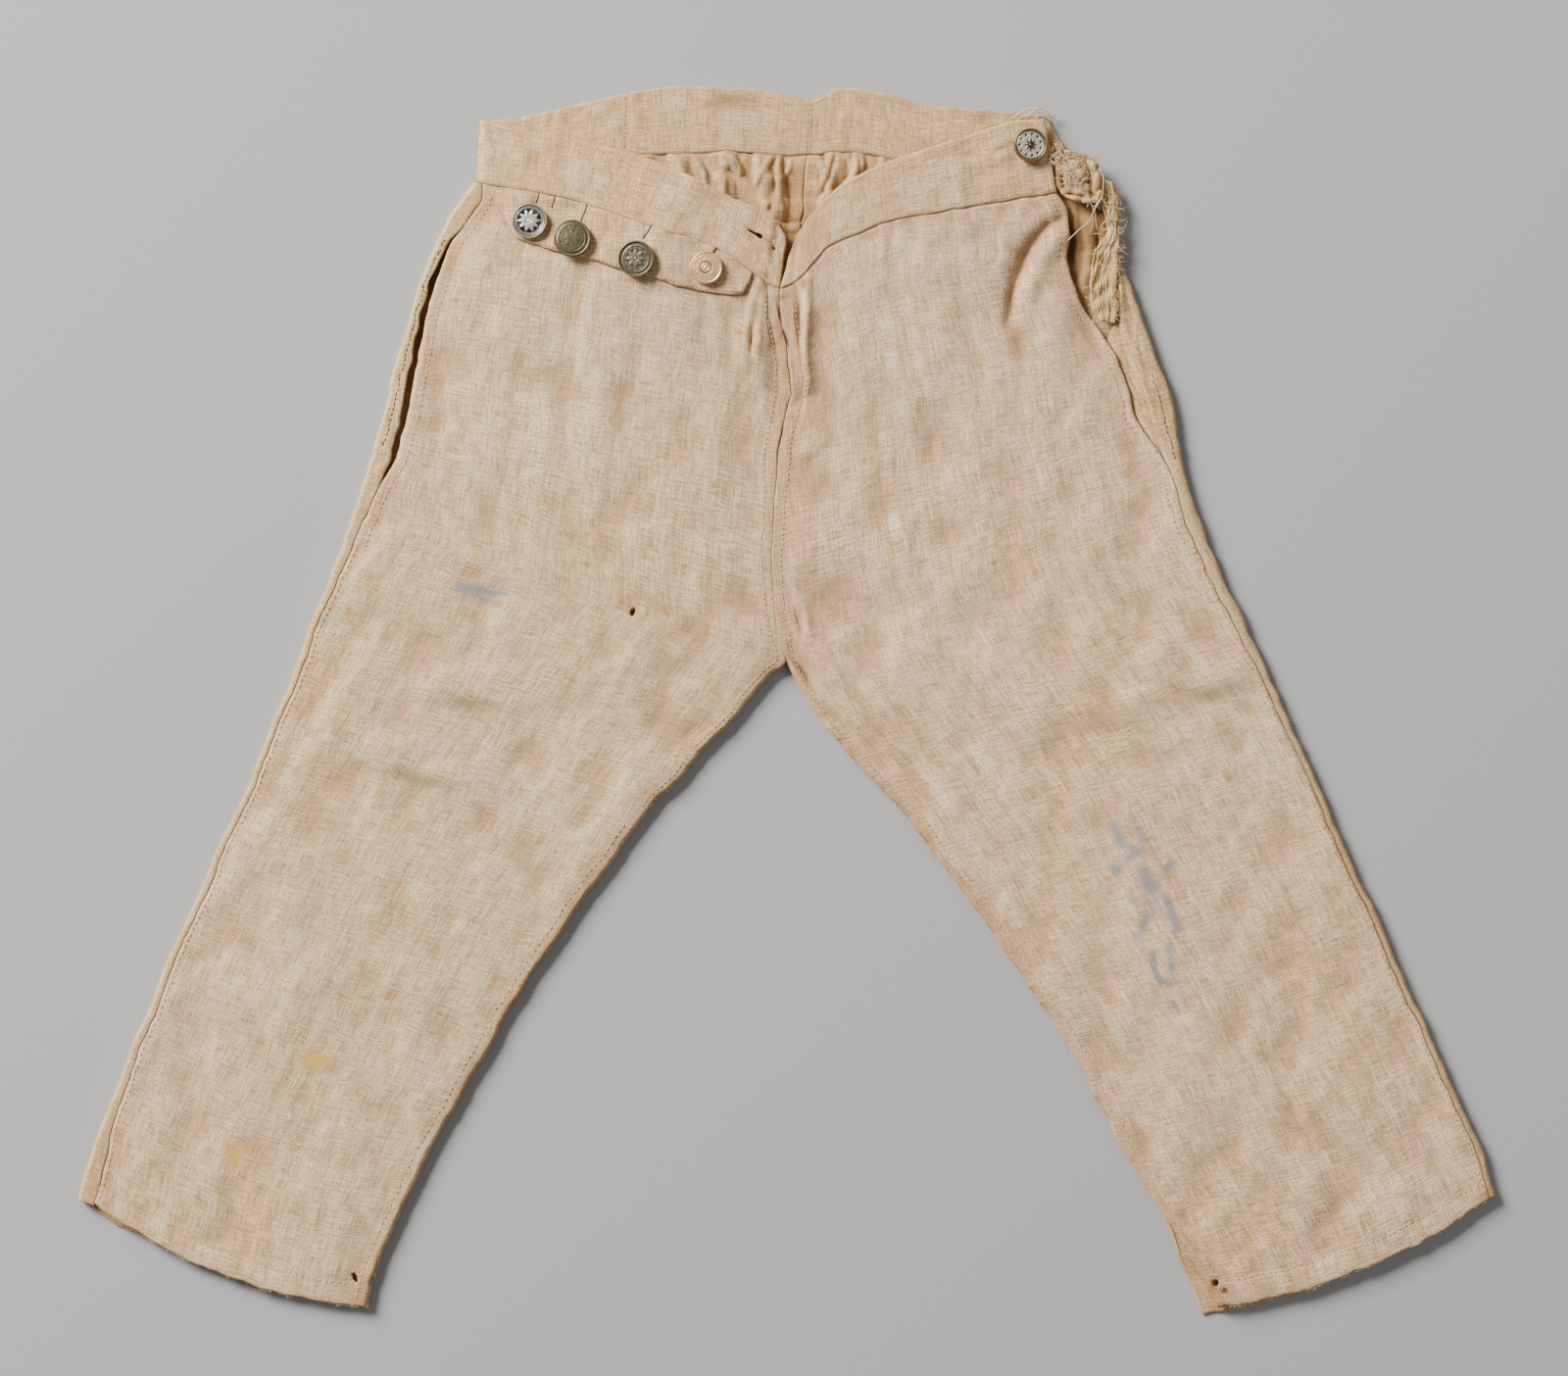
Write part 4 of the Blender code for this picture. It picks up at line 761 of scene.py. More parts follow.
def frontPanel(side, leg, waist, material):
    # Sections of the front from the side edge to the middle, then the rolled edge; height is the
    # section's own plus folds and uneven ground; the hem and the free side edge are turned thicker.
    sign = -1.0 if side == "left" else 1.0
    length = legLength(leg)
    down = spacedLine(length, gridStep, ((length - 20, length - 6, 0.8), (length - 2.4, length, 0.5),
        (0, 3, 0.8), (158, 167, 0.7)))
    rows = legAt(leg, down)
    shares = spacedLine(1.0, gridStep / 150, ((0.90, 0.985, 0.006), (0.0, 0.02, 0.004),
        (0.628, 0.674, 0.004)))
    across = unit(rows["front"] - rows["outer"])
    radius = (rows["middle"] - cloth["low"]) / 2
    along, over = edgeRoll(rows, radius, 9)
    reach = along[:, -1] + rows["curl"] * cloth["low"] + (1 - rows["curl"]) * cloth["closeGap"]
    start = rows["outer"] + across * rows["seamIn"][:, None]
    end = rows["front"] - across * reach[:, None]
    plan = spreadSections(start, end, fittedLine(waist, start[0], end[0], reach[0], shares), rows,
        shares)
    up = np.sin(np.pi / 2 * np.clip(shares / 0.55, 0, 1))
    height = rows["side"][:, None] + (rows["middle"] - rows["side"])[:, None] * up + 0.7 * np.sin(np.pi
        * shares)
    x, y = plan[..., 0], plan[..., 1]
    calm = np.clip(np.minimum(shares, 1 - shares) / 0.05, 0, 1)[None] * np.clip((length - down) / 12,
        0.25, 1)[:, None]
    height = height + foldsAt(frontFolds[side], x, y)
    height = height + (softWaves(x, y, 5, 48, 0.4) + softWaves(x, y, 9, 19, 0.17) + softWaves(x, y, 4,
        8, 0.055)) * calm
    pucker = np.sin(x / 1.35 + np.sin(x / 6.0) * 1.6) * np.exp(-down / 6)[:, None] + 0.0 * x
    height = height + 0.16 * pucker * np.clip(down / 1.5, 0, 1)[:, None]
    hem = bump(down - length + 4.5, 5.5) * 0.16 - bump(down - length + 9.0, 1.6) * 0.1
    height = height + hem[:, None]
    inset = shares[None] * np.linalg.norm(end - start, axis=1)[:, None]
    free = np.clip((rows["seamIn"] - rows["wrapIn"] - 0.4) / 1.0, 0, 1)[:, None]
    height = height + free * (bump(inset - 1.6, 2.6) * 0.3 - bump(inset - 5.0, 1.4) * 0.22)
    flat = np.concatenate([plan, height[..., None]], -1)
    edge = end[:, None] + across[:, None] * along[..., None]
    rolled = np.concatenate([edge, (height[:, -1:] - over)[..., None]], -1)
    grid = handMade(np.concatenate([flat, rolled], 1))
    wide = np.linalg.norm(end - start, axis=1)[:, None]
    share = np.concatenate([np.broadcast_to(shares, x.shape), 1 + np.arange(1, 10)[None]
        * radius[:, None] * 0.16 / wide], 1)
    uv = np.stack([(share - 0.5) * (0.6 * wide + 0.4 * 160) * sign, np.broadcast_to(-down[:, None],
        share.shape)], -1)
    legPart = np.clip(down[:, None] / 150 - 0.9, 0, 1)
    soilAndShade = np.exp((share - 1) * wide / 6.0) * (0.15 + 0.5 * legPart) + 0.35 * np.exp(-(length - down)
        / 6)[:, None]
    soilAndShade = soilAndShade + 0.1 * np.exp(-share * wide / 5.0) + 0.3 * np.exp(-down / 5)[:, None]
    # Painted shade: the front is browner in its creases and lighter on its ridges.
    flatPart = grid[:, : len(shares), 2]
    creaseShadeDepth = paintedCreaseShade(flatPart, 6) + 0.5 * paintedCreaseShade(flatPart, 12)
    soilAndShade[:, : len(shares)] += np.clip(creaseShadeDepth * 0.75, -0.1, 0.75)
    marks = marksAt(grid[..., 0], grid[..., 1], soilAndShade)
    keep = cutHoles(grid, hemHoles[side] + ((wearHole,) if side == "left" else ()))
    piece = shellMesh("front" + side.capitalize() + "Panel", grid, cloth["thickness"], material, uv,
        marks, keep)
    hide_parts("front_" + side + "_leg")
    return {"piece": piece, "grid": grid, "down": down, "shares": np.append(shares,
        np.linspace(1.01, 1.1, 9)), "length": length, "wide": wide[:, 0], "up": gridNormals(grid)
        * sign, "half": cloth["thickness"] / 2, "waistRow": grid[0]}


# Columns: x, lean, height, half width.
gathers = ((-64, 5, 2.8, 8), (-49, 8, 3.4, 6.0), (-29, 12, 2.2, 6), (-9, 9, 4.6, 9.5),
    (20, -1, 3.8, 6.4), (31, -5, 3.4, 5.4), (48, -7, 3.4, 7.4), (65, -9, 2.8, 8))
gatherShape = {"reach": 82.0, "highest": 7.4}
fineGathers = {"pitch": 5.2, "height": 1.1, "fade": 14.0}
backFolds = ((-44.2, 246.4, -36.3, 233.2, 2, 1.9, 2.0), (-41.6, 245, -33.4, 232, 2, -1.8, 2.2),
    (-34.7, 242, -23, 235.4, 0, -2.4, 3.0), (-23, 235.4, -13.4, 222.2, 1, -2.8, 3.0),
    (-31, 247, -20, 238, 1, 1.8, 2.2), (-25, 244, -18, 234, 1, 1.5, 1.5), (-24, 240, -19, 230, 1, 1.2,
    1.3), (-14, 244, -12, 230, 1, 1.6, 4.0), (-3, 245, 0.5, 222, -1, 1.4, 2.0),
    (-8, 242, -5, 226, 1, -1.1, 1.6), (-10.4, 224.4, -8.2, 221.0, 0.6, 2.6, 1.7),
    (-13.2, 224, -11.6, 219.6, 0, -1.8, 1.6), (-6, 221, 0, 219, 0, 1.4, 1.6), (-8, 216, 2, 215, 0, -1.2,
    1.6), (4.6, 247, 8.6, 229, 0, -3.6, 2.6), (8.6, 229, 7.7, 211.6, 1, -3.8, 3.2),
    (2.4, 240, 4.0, 218, 0.5, 1.6, 2.0), (-4.6, 213, 0.9, 208.6, 0, -2.6, 2.2), (16.5, 249.4, 15.6, 246,
    -1.2, -2.4, 1.5), (15.6, 246, 17.4, 242.6, 0, -2.2, 1.4), (12.6, 246, 11, 228, 1, 1.6, 2.2),
    (22, 246, 14, 226, 1, -1.4, 1.8), (23, 244, 25, 232, 1, 2.2, 4), (37, 247, 36, 234, 1, -2.6, 3.4),
    (-58, 246, -50, 236, 1, -1.8, 3), (-66, 246, -62, 238, 1, 1.4, 3.4), (11, 238, 14, 222, 1, 1.6,
    3.2), (30, 247, 30, 240, 0, -1.6, 2), (44, 246, 43, 238, 0, 1.4, 2.6), (-31, 247, -30, 240, 0, -1.6,
    2), (-16, 247, -15, 240, 0, -1.8, 2), (10, 247, 10, 238, 0, -1.4, 2), (135, 226, 134, 186, 2, 3.0,
    4.4), (142, 228, 143, 176, 1, 2.4, 3.6), (128, 224, 131, 196, 1, 1.4, 3),
    (147, 200, 152, 150, 1, 1.6, 3.4), (-120, 60, -60, 20, 5, 0.6, 14), (60, 40, 130, 66, 5, 0.6, 14),
    (-180, -20, -110, -34, 2, 0.5, 8), (100, -30, 190, -6, 2, 0.5, 8), (-250, -150, -190, -180, 3, 0.5,
    12), (200, -150, 250, -120, 3, 0.5, 12), (-100, 190, -70, 120, 5, 0.6, 12),
    (90, 200, 70, 130, 5, 0.6, 12))
rng = np.random.default_rng(88)
crumple = np.stack([np.linspace(-66, 62, 54) + rng.normal(0, 2, 54), 248.5 - rng.uniform(0, 14,
    54) ** 1.1, np.linspace(-58, 52, 54) + rng.normal(0, 6, 54), 236 - rng.uniform(0, 22, 54),
    rng.normal(0, 1.5, 54), rng.choice((-1, 1), 54) * rng.uniform(0.5, 1.8, 54),
    rng.uniform(1.9, 3.8, 54)], -1)
backFolds = np.concatenate([np.array(backFolds, float), crumple])
lipFolds = ((148.2, 198, 149.4, 165, 0, -1.5, 1.6), (149.4, 165, 159.2, 128, 0, -1.5, 1.6),
    (156, 150, 170, 109, 0, -1.4, 1.5), (149.5, 199, 151.6, 165, 0, 0.8, 2), (153.5, 196, 155.5, 158, 0,
    -0.9, 2.2), (155, 165, 163, 130, 0, 0.8, 2.4), (158, 160, 168, 126, 0, -1.0, 2.2),
    (163, 132, 171, 112, 0, 0.7, 2.2), (166, 132, 174, 112, 0, -0.7, 2), (-160, 186, -166, 160, 0, -0.5,
    2), (-168, 150, -176, 118, 0, 0.5, 2.4))


def backPanel(side, leg, waist, material):
    # Sections of the back from its edge on the front, round the side fold as a half circle, along the
    # surface it lies on, to the middle and its rolled edge; gathers are bumps that lean and fade.
    sign = -1.0 if side == "left" else 1.0
    length = legLength(leg)
    down = spacedLine(length, gridStep * 1.15, ((0, 4, 0.8), (4, 52, 1.0), (length - 2, length, 0.6)))
    rows = legAt(leg, down)
    shares = spacedLine(1.0, gridStep * 1.1 / 150, ((0.6, 1.0, 0.9 / 150),))
    across = unit(rows["front"] - rows["outer"])
    inward = unit(rows["back"] - rows["outer"])
    radius = (rows["side"] - cloth["low"]) / 2
    turn = np.linspace(np.pi, 0, 13)
    reach = (radius + cloth["low"])[:, None] - radius[:, None] * np.sin(turn)
    foldHeight = cloth["low"] + radius[:, None] * (1 - np.cos(turn))
    lips = np.linspace(0, 1, 13)[:-1]
    lipReach = rows["wrapIn"][:, None] + (reach[:, :1] - rows["wrapIn"][:, None]) * lips
    lipHeight = rows["side"][:, None] + 0 * lips
    slit = np.clip((rows["seamIn"] - rows["wrapIn"] - 0.4) / 1.0, 0, 1)[:, None]
    wave = 0.5 + 0.5 * np.sin(down / 3.1 + np.sin(down / 11.0) * 2.0)[:, None]
    lipReach = lipReach - slit * (1 - lips) * wave * 0.9
    lipHeight = lipHeight + slit * (bump(lips - 0.35, 0.5) * 0.35 + (1 - lips) * (wave - 0.5) * 0.5)
    if side == "right":
        tuck = (bump(rows["outer"][:, 1] - 138, 44)[:, None] > 0.02) * np.clip(bump(rows["outer"][:, 1]
            - 138, 44)[:, None] * 3, 0, 1)
        lipReach = lipReach + tuck * (1 - lips) ** 2 * ((rows["seamIn"] - rows["wrapIn"])[:, None]
            + 1.2)
        lipHeight = lipHeight - tuck * (1 - lips) ** 2 * 1.5
    lipXy = rows["outer"][:, None] + across[:, None] * lipReach[..., None]
    lipHeight = lipHeight + foldsAt(lipFolds, lipXy[..., 0], lipXy[..., 1]) * (1 - lips)
    nearReach = np.concatenate([lipReach, reach], 1)
    nearHeight = np.concatenate([lipHeight, foldHeight], 1)
    near = np.concatenate([rows["outer"][:, None] + across[:, None] * nearReach[..., None],
        nearHeight[..., None]], -1)
    endRadius = (rows["middle"] - cloth["low"]) / 2
    along, over = edgeRoll(rows, endRadius, 9)
    endReach = along[:, -1] + rows["curl"] * cloth["low"] + (1 - rows["curl"]) * cloth["closeGap"]
    start = near[:, -1, :2]
    end = rows["back"] - inward * endReach[:, None]
    plan = spreadSections(start, end, fittedLine(waist, start[0], end[0], endReach[0], shares), rows,
        shares)
    x, y = plan[..., 0], plan[..., 1]
    below = np.maximum(plan[0, :, 1][None] - y, 0)
    swell = 0.3 + 0.7 * np.clip(below / 12, 0, 1)
    fade = np.clip(1 - below / gatherShape["reach"], 0, 1)
    height = sum(h * bump(x - (g + lean * np.clip(below / gatherShape["reach"], 0, 1)), w) for g, lean,
        h, w in gathers) * swell * fade
    inner = bump(x, 95) * np.exp(-below / fineGathers["fade"])
    ripple = np.sin(x * 2 * np.pi / fineGathers["pitch"] + np.sin(x / 13) * 2 + below / 30)
    height = height + (0.5 + 0.5 * ripple) * fineGathers["height"] * inner * np.clip(below / 3, 0.4, 1)
    height = height + np.maximum(foldsAt(backFolds, x, y), -height * 0.85)
    height = gatherShape["highest"] * np.tanh(height / gatherShape["highest"])
    ground = np.maximum(softWaves(x, y, 12, 40, 0.3) + softWaves(x, y, 15, 15, 0.1), 0)
    calm = np.clip(np.minimum(shares, 1 - shares) / 0.05, 0, 1)[None]
    height = cloth["low"] + height + ground * calm
    flat = np.concatenate([plan, height[..., None]], -1)[:, 1:]
    edge = end[:, None] + inward[:, None] * along[..., None]
    rolled = np.concatenate([edge, (height[:, -1:] + over)[..., None]], -1)
    grid = np.concatenate([near, flat, rolled], 1)
    grid[..., 1] -= 1.5 * bump(grid[..., 0] + 300, 42) * np.exp(-(length - down) / 7)[:, None]
    grid = handMade(grid)
    u = np.concatenate([np.broadcast_to(-14 - lips[::-1] * 6, lipReach.shape),
        np.broadcast_to(-np.arange(13)[::-1], reach.shape), np.broadcast_to(shares[1:] * 150,
        flat.shape[:2]), np.broadcast_to(150 + np.arange(1, 10) * 0.5, edge.shape[:2])], 1)
    uv = np.stack([u * sign + 400, np.broadcast_to(-down[:, None], u.shape)], -1)
    soilAndShade = 0.3 * np.exp(-(length - down) / 6)[:, None] + 0.0 * u
    inner = slice(lipReach.shape[1] + 12, -9)
    # Painted shade: in the creases of the folded-over lip and of the gathers and folds, and, where the side
    # is slit, a shadow on the flat back just inside the fold, under the front's free edge.
    soilAndShade[:, :10] += np.clip(paintedCreaseShade(grid[:, :12, 2], 2)[:, :10] * 1.6, 0, 1.4)
    creaseShadeDepth = paintedCreaseShade(grid[:, inner, 2], 4)
    soilAndShade[:, inner] += np.clip(creaseShadeDepth * 0.5, -0.15, 0.75)
    soilAndShade[:, inner] += slit * bump(np.arange(soilAndShade[:, inner].shape[1]), 9)[None] * 1.6
    marks = marksAt(grid[..., 0], grid[..., 1], soilAndShade)
    marks[..., 0] *= (u < 0)
    marks[..., 1] *= (u < 0)
    # Painted shade on the back's brown channel: darker over the waist opening, in a narrow line just under
    # the back band, and deep inside the right hip opening; the middle is capped lower.
    marks[..., 2] = np.clip(marks[..., 2] + 0.5 * bump(grid[..., 0], 110) * bump(grid[..., 1] - 230, 50)
        + 0.5 * np.exp(-down / 1.6)[:, None] + 1.5 * bump(grid[..., 0] - 128, 15)
        * bump(grid[..., 1] - 206, 36), 0, 2.2)
    marks[..., 2] = np.minimum(marks[..., 2], np.where(np.abs(grid[..., 0]) < 95, 1.25, 2.2))
    piece = shellMesh("back" + side.capitalize() + "Panel", grid, cloth["thickness"], material, uv,
        marks)
    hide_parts("back_" + side + "_leg")
    return {"piece": piece, "grid": grid, "down": down, "length": length, "half": cloth["thickness"]
        / 2, "up": gridNormals(grid) * -sign, "waistRow": grid[0, 24:], "foldRow": grid[0, 12:25]}


frontLeft = frontPanel("left", leftLeg, frontLeftWaist, linenFront)
frontRight = frontPanel("right", rightLeg, frontRightWaist, linenRight)
backLeft = backPanel("left", leftLeg, backLeftWaist, linenBack)
backRight = backPanel("right", rightLeg, backRightWaist, linenBack)
print("leg panels made:", len(frontLeft["piece"].data.polygons), "faces in one front")


# Waistband, strip and scraps.

def gridPlace(grid, xy):
    # Broken row and column numbers of places seen from above: the nearest point, then one step of
    # the local slopes.
    xy = np.atleast_2d(np.asarray(xy, float))
    flat = grid[..., :2].reshape(-1, 2)
    near = np.concatenate([np.argmin(((part[:, None] - flat[None]) ** 2).sum(-1), axis=1)
                           for part in np.array_split(xy, max(len(xy) // 40, 1))])
    r = np.clip(near // grid.shape[1], 1, grid.shape[0] - 2)
    c = np.clip(near % grid.shape[1], 1, grid.shape[1] - 2)
    byRow = (grid[r + 1, c, :2] - grid[r - 1, c, :2]) / 2
    byCol = (grid[r, c + 1, :2] - grid[r, c - 1, :2]) / 2
    off = xy - grid[r, c, :2]
    det = byRow[:, 0] * byCol[:, 1] - byRow[:, 1] * byCol[:, 0]
    row = r + np.clip((off[:, 0] * byCol[:, 1] - off[:, 1] * byCol[:, 0]) / det, -1.5, 1.5)
    col = c + np.clip((byRow[:, 0] * off[:, 1] - byRow[:, 1] * off[:, 0]) / det, -1.5, 1.5)
    return np.clip(row, 0, grid.shape[0] - 1.001), np.clip(col, 0, grid.shape[1] - 1.001)


def layOn(surface, xy, lift=0.0):
    # Points on top of a cloth surface at places seen from above, raised along its own normal.
    row, col = gridPlace(surface["grid"], xy)
    return onGrid(surface["grid"], row, col) + onGrid(surface["up"], row, col) * (surface["half"]
        + lift)


def bandSurface(name, bottom, top, heights, material, holes=(), zones=(), free=(True, True)):
    # A folded band: straight lines from its lower to its upper edge, close together at both, with
    # slight waves; it is thick in the middle and thin at its edges.
    along = np.concatenate([[0.0], np.cumsum(np.linalg.norm(np.diff(bottom, axis=0), axis=1))])
    ends = ((0, 2.4, 0.5),) * free[0] + ((along[-1] - 2.4, along[-1], 0.5),) * free[1]
    places = spacedLine(along[-1], gridStep, ends + tuple(zones))
    bottom = np.stack([np.interp(places, along, bottom[:, k]) for k in (0, 1)], -1)
    top = np.stack([np.interp(places, along, top[:, k]) for k in (0, 1)], -1)
    heights = np.interp(places, along, heights)
    shares = np.unique(np.concatenate([np.linspace(0, 1, 27),
        [0.015, 0.06, 0.94, 0.985]]))
    plan = bottom[:, None] + (top - bottom)[:, None] * shares[None, :, None]
    x, y = plan[..., 0], plan[..., 1]
    calm = np.minimum(places if free[0] else places + 9, places[-1] - places if free[1] else 9)
    calm = np.sin(np.pi * shares)[None] * np.clip(calm / 2.4, 0, 1)[:, None]
    lift = np.maximum(softWaves(x, y, 21, 22, 0.28) + softWaves(x, y, 23, 9, 0.14) + foldsAt(bandFolds,
        x, y), -0.12) * calm
    height = heights[:, None] + np.where(heights[:, None] < 1.5, np.maximum(lift, 0), lift)
    grid = np.concatenate([plan, height[..., None]], -1)
    wavered = handMade(grid.copy())
    grid = grid + (wavered - grid) * shares[None, :, None]
    uv = np.stack([np.broadcast_to(places[:, None], x.shape) + 40, shares[None] * cloth["bandWide"]
        + 0 * x], -1)
    soilAndShade = 0.3 * np.exp(-shares * cloth["bandWide"] / 2.0) + 0.32 * np.exp(-(1 - shares)
        * cloth["bandWide"] / 2.5) + 0 * x
    # The brown channel: soil near both edges, and painted shade in the band's creases.
    marks = marksAt(x, y, soilAndShade + np.clip(paintedCreaseShade(height, 3) * 0.8, -0.1, 0.8))
    keep = cutHoles(grid, holes)
    piece = shellMesh(name, grid, cloth["bandThickness"], material, uv, marks, keep,
        (not free[0], not free[1]))
    return {"piece": piece, "grid": grid, "up": gridNormals(grid), "half": cloth["bandThickness"] / 2,
        "along": places}


bandFolds = ((-16, 212.4, -6, 204, 0, -1.3, 1.7), (-12, 212, -3, 207, 0, 1.2, 2.6),
    (-20, 207, -12, 202, 0, 0.8, 2.4), (-22, 204, -12, 198, 0, -1.0, 2.0), (-10, 204, -2, 206, 0, 0.9,
    2.2), (-9, 199, -4, 188, 0, 0.9, 2.4), (-2, 204, 0, 192, 0, -0.9, 1.8), (-14, 196, -6, 190, 0, -0.9,
    2.2), (-17, 204, -13, 194, 1, 0.8, 2.2), (-3, 209, -7, 213, 0, -0.8, 2.0),
    (92.6, 246, 103, 250.6, -0.6, -1.5, 1.8), (94, 243.6, 103, 246, 0, 0.6, 2.4),
    (60, 236, 112, 250, 0, 0.25, 7), (-18, 212, -9, 206, 0, -0.6, 2.6), (-30, 214, -20, 204, 1, 0.4, 5),
    (-132, 256, -96, 247, 0, 0.3, 8), (-6, 216, -3, 194, 0, -0.5, 2.4), (-14, 200, -2, 196, 0, 0.6, 3),
    (14, 222, 30, 226, 0, -0.4, 4), (49, 222, 49, 212, 0, -0.5, 2), (-104, 268, -70, 266, 2, 0.3, 8),
    (16, 272, 14, 250, 0, -1.2, 2.6), (26, 272, 24, 252, 1, 0.8, 4))
bandHoles = {"left": ((-15.2, 210.2, 3.2, 0.6, -28.0), (-12.4, 208.7, 1.9, 1.25, -28.0),
    (-5.9, 203.2, 1.2, 0.8, -40.0)), "right": ()}


def frontBand(waist, panel):
    # Lower edge just above the panel's own upper edge, upper edge by share of the length.
    bottom = panel["waistRow"][:, :2].copy()
    top = waistLine(waist, 2, shareAlong(bottom))
    bottom[:, 1] += 0.09
    return bottom, top, panel["waistRow"][:, 2].copy()


def backBand(waist, panel, first, last):
    # Lower edge just above the gathers between two shares of the back's upper edge.
    edge = panel["waistRow"][:, :2]
    shares = np.linspace(first, last, 90)
    places = shareAlong(edge)
    bottom = np.stack([np.interp(shares, places, edge[:, 0]), np.interp(shares, places, edge[:, 1])
        + 0.07], -1)
    return bottom, waistLine(waist, 2, shares)


def leftFrontBand():
    # The front left band runs from the middle to the side, round the side fold as a half circle, and
    # on along the back to its join.
    bottom, top, heights = frontBand(frontLeftWaist, frontLeft)
    backBottom, backTop = backBand(backLeftWaist, backLeft, 0.02, 0.4399)
    radius = (heights[0] - cloth["bandLow"]) / 2
    turn = np.linspace(np.pi, 0, 13)
    reach = radius + cloth["bandLow"] - radius * np.sin(turn)
    foldBottom = np.stack([-140.0 + reach, backLeft["foldRow"][:, 1] + 0.12], -1)
    foldTop = np.stack([-139.0 + reach, top[0, 1] + (backTop[0, 1] - top[0, 1]) * np.linspace(0, 1,
        13)], -1)
    foldHeight = cloth["bandLow"] + radius * (1 - np.cos(turn))
    bottom = np.concatenate([bottom[:0:-1], foldBottom, backBottom[1:]])
    top = np.concatenate([top[:0:-1], foldTop, backTop[1:]])
    heights = np.concatenate([heights[:0:-1], foldHeight, np.full(len(backBottom) - 1,
        cloth["bandLow"])])
    band = bandSurface("waistbandFrontLeft", bottom, top, heights, linenBand,
        bandHoles["left"], ((0, 26, 0.7), (150, 172, 0.8)), (True, False))
    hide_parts("waistband_front_left")
    return band


def rightFrontBand():
    # The front right band runs from its torn end at the side to the middle.
    bottom, top, heights = frontBand(frontRightWaist, frontRight)
    band = bandSurface("waistbandFrontRight", bottom, top, heights, linenBand,
        bandHoles["right"])
    band["up"] = -band["up"] if band["up"][10, 5, 2] < 0 else band["up"]
    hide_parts("waistband_front_right")
    return band


def rearBand(side, waist, panel, first, last):
    # The back band of one side; the right one's end meets the left one's at the centre back.
    bottom, top = backBand(waist, panel, first, last)
    if side == "right":
        leftBottom, leftTop = backBand(backLeftWaist, backLeft, 0.44, 1.0)
        bottom[-1], top[-1] = leftBottom[-1] + (0.02, 0), leftTop[-1] + (0.02, 0)
    band = bandSurface("waistbandBack" + side.capitalize(), bottom, top,
        np.full(len(bottom), cloth["bandLow"]), linenBack, free=(side == "right", False))
    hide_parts("waistband_back_" + side)
    return band


bandLeft = leftFrontBand()
bandRight = rightFrontBand()
rearLeft = rearBand("left", backLeftWaist, backLeft, 0.4401, 1.0)
rearRight = rearBand("right", backRightWaist, backRight, 0.055, 1.0)
bandLeft["up"] = bandLeft["up"] * np.sign(bandLeft["up"][10, 5, 2])

# The buttonhole strip's outline on the panel, as pairs of points across it from the side to the middle.
stripOutline = {
    "top": ((-130.0, 230.0), (-126.0, 230.2), (-111.5, 227.4), (-89.0, 222.2), (-68.4, 216.0),
        (-55.0, 210.8), (-36.3, 205.6), (-24.5, 202.4), (-15.6, 198.8), (-14.4, 196.6)),
    "bottom": ((-130.6, 224.4), (-128.0, 214.8), (-114.6, 205.2), (-92.2, 198.6), (-73.2, 193.4),
        (-55.2, 188.3), (-42.9, 184.8), (-31.0, 182.6), (-20.6, 182.6), (-15.8, 190.6)),
}
stripFolds = ((-111, 228, -112, 222, 0, -0.5, 1.3), (-104, 226, -105, 221, 0, -0.4, 1.2),
    (-89.5, 222, -91.7, 215, 0, -0.6, 1.3), (-60.5, 213, -64, 207, 0, -0.6, 1.3),
    (-31, 205, -33, 200, 0, -0.7, 1.2), (-100, 212, -98, 204, 1, 0.3, 3), (-80, 206, -84, 200, 0, 0.3,
    3.5), (-50, 200, -48, 190, 0, 0.25, 4), (-24, 197, -19, 188, 1, -0.4, 2.4),
    (-118, 226, -126, 218, 0, 0.3, 3))
# Columns: x, y, diameter, rim, dome, and the ornament's own numbers.
buttonTable = {
    "star": {"x": -115.0, "y": 215.0, "wide": 15.9, "rim": 0.75, "dome": 0.4, "rays": 10,
        "rayLow": 0.38, "rayHigh": 0.66, "starDepth": 1.0, "starShine": 0.5, "ring": 0.82, "rope": 44,
        "centre": 0.09, "dots": 0, "brassRim": 0.35, "material": ((214, 208, 194), (44, 38, 28), 0.34,
        0.2)},
    "dark": {"x": -96.0, "y": 207.0, "wide": 16.7, "rim": 0.4, "dome": 0.8, "rays": 8, "rayLow": 0.3,
        "rayHigh": 0.5, "starDepth": 0.16, "starShine": 0.0, "ring": 0.72, "rope": 0, "centre": 0.07,
        "dots": 8, "material": ((128, 118, 92), (78, 70, 50), 0.5, 0.2)},
    "rimmed": {"x": -67.0, "y": 198.0, "wide": 16.3, "rim": 0.9, "dome": 0.35, "rays": 8,
        "rayLow": 0.28, "rayHigh": 0.52, "starDepth": 0.4, "starShine": 0.1, "ring": 0.7, "rope": 30,
        "centre": 0.1, "dots": 12, "material": ((140, 130, 106), (78, 70, 54), 0.46, 0.2)},
    "pale": {"x": -36.0, "y": 194.0, "wide": 14.5, "rim": 0.45, "dome": 0.35, "rays": 0, "rayLow": 0.0,
        "rayHigh": 0.0, "ring": 0.34, "rope": 0, "centre": 0.13, "dots": 12, "base": 0.85,
        "material": ((252, 216, 152), (130, 92, 46), 0.4, 0.2)},
    "band": {"x": 109.0, "y": 249.3, "wide": 15.0, "rim": 0.75, "dome": 0.35, "rays": 8, "rayLow": 0.2,
        "rayHigh": 0.42, "starDepth": 0.3, "starShine": -0.75, "ring": 0.78, "rope": 36, "centre": 0.1,
        "dots": 11, "brassRim": 1.1, "rimTone": (132, 112, 68), "rimFrom": 0.79, "base": 0.9,
        "material": ((232, 226, 206), (66, 52, 28), 0.36, 0.2)},
}
buttonBody = {"shank": 2.6, "shankHeight": 1.3, "plate": 1.0, "gap": 0.35, "turns": 96}


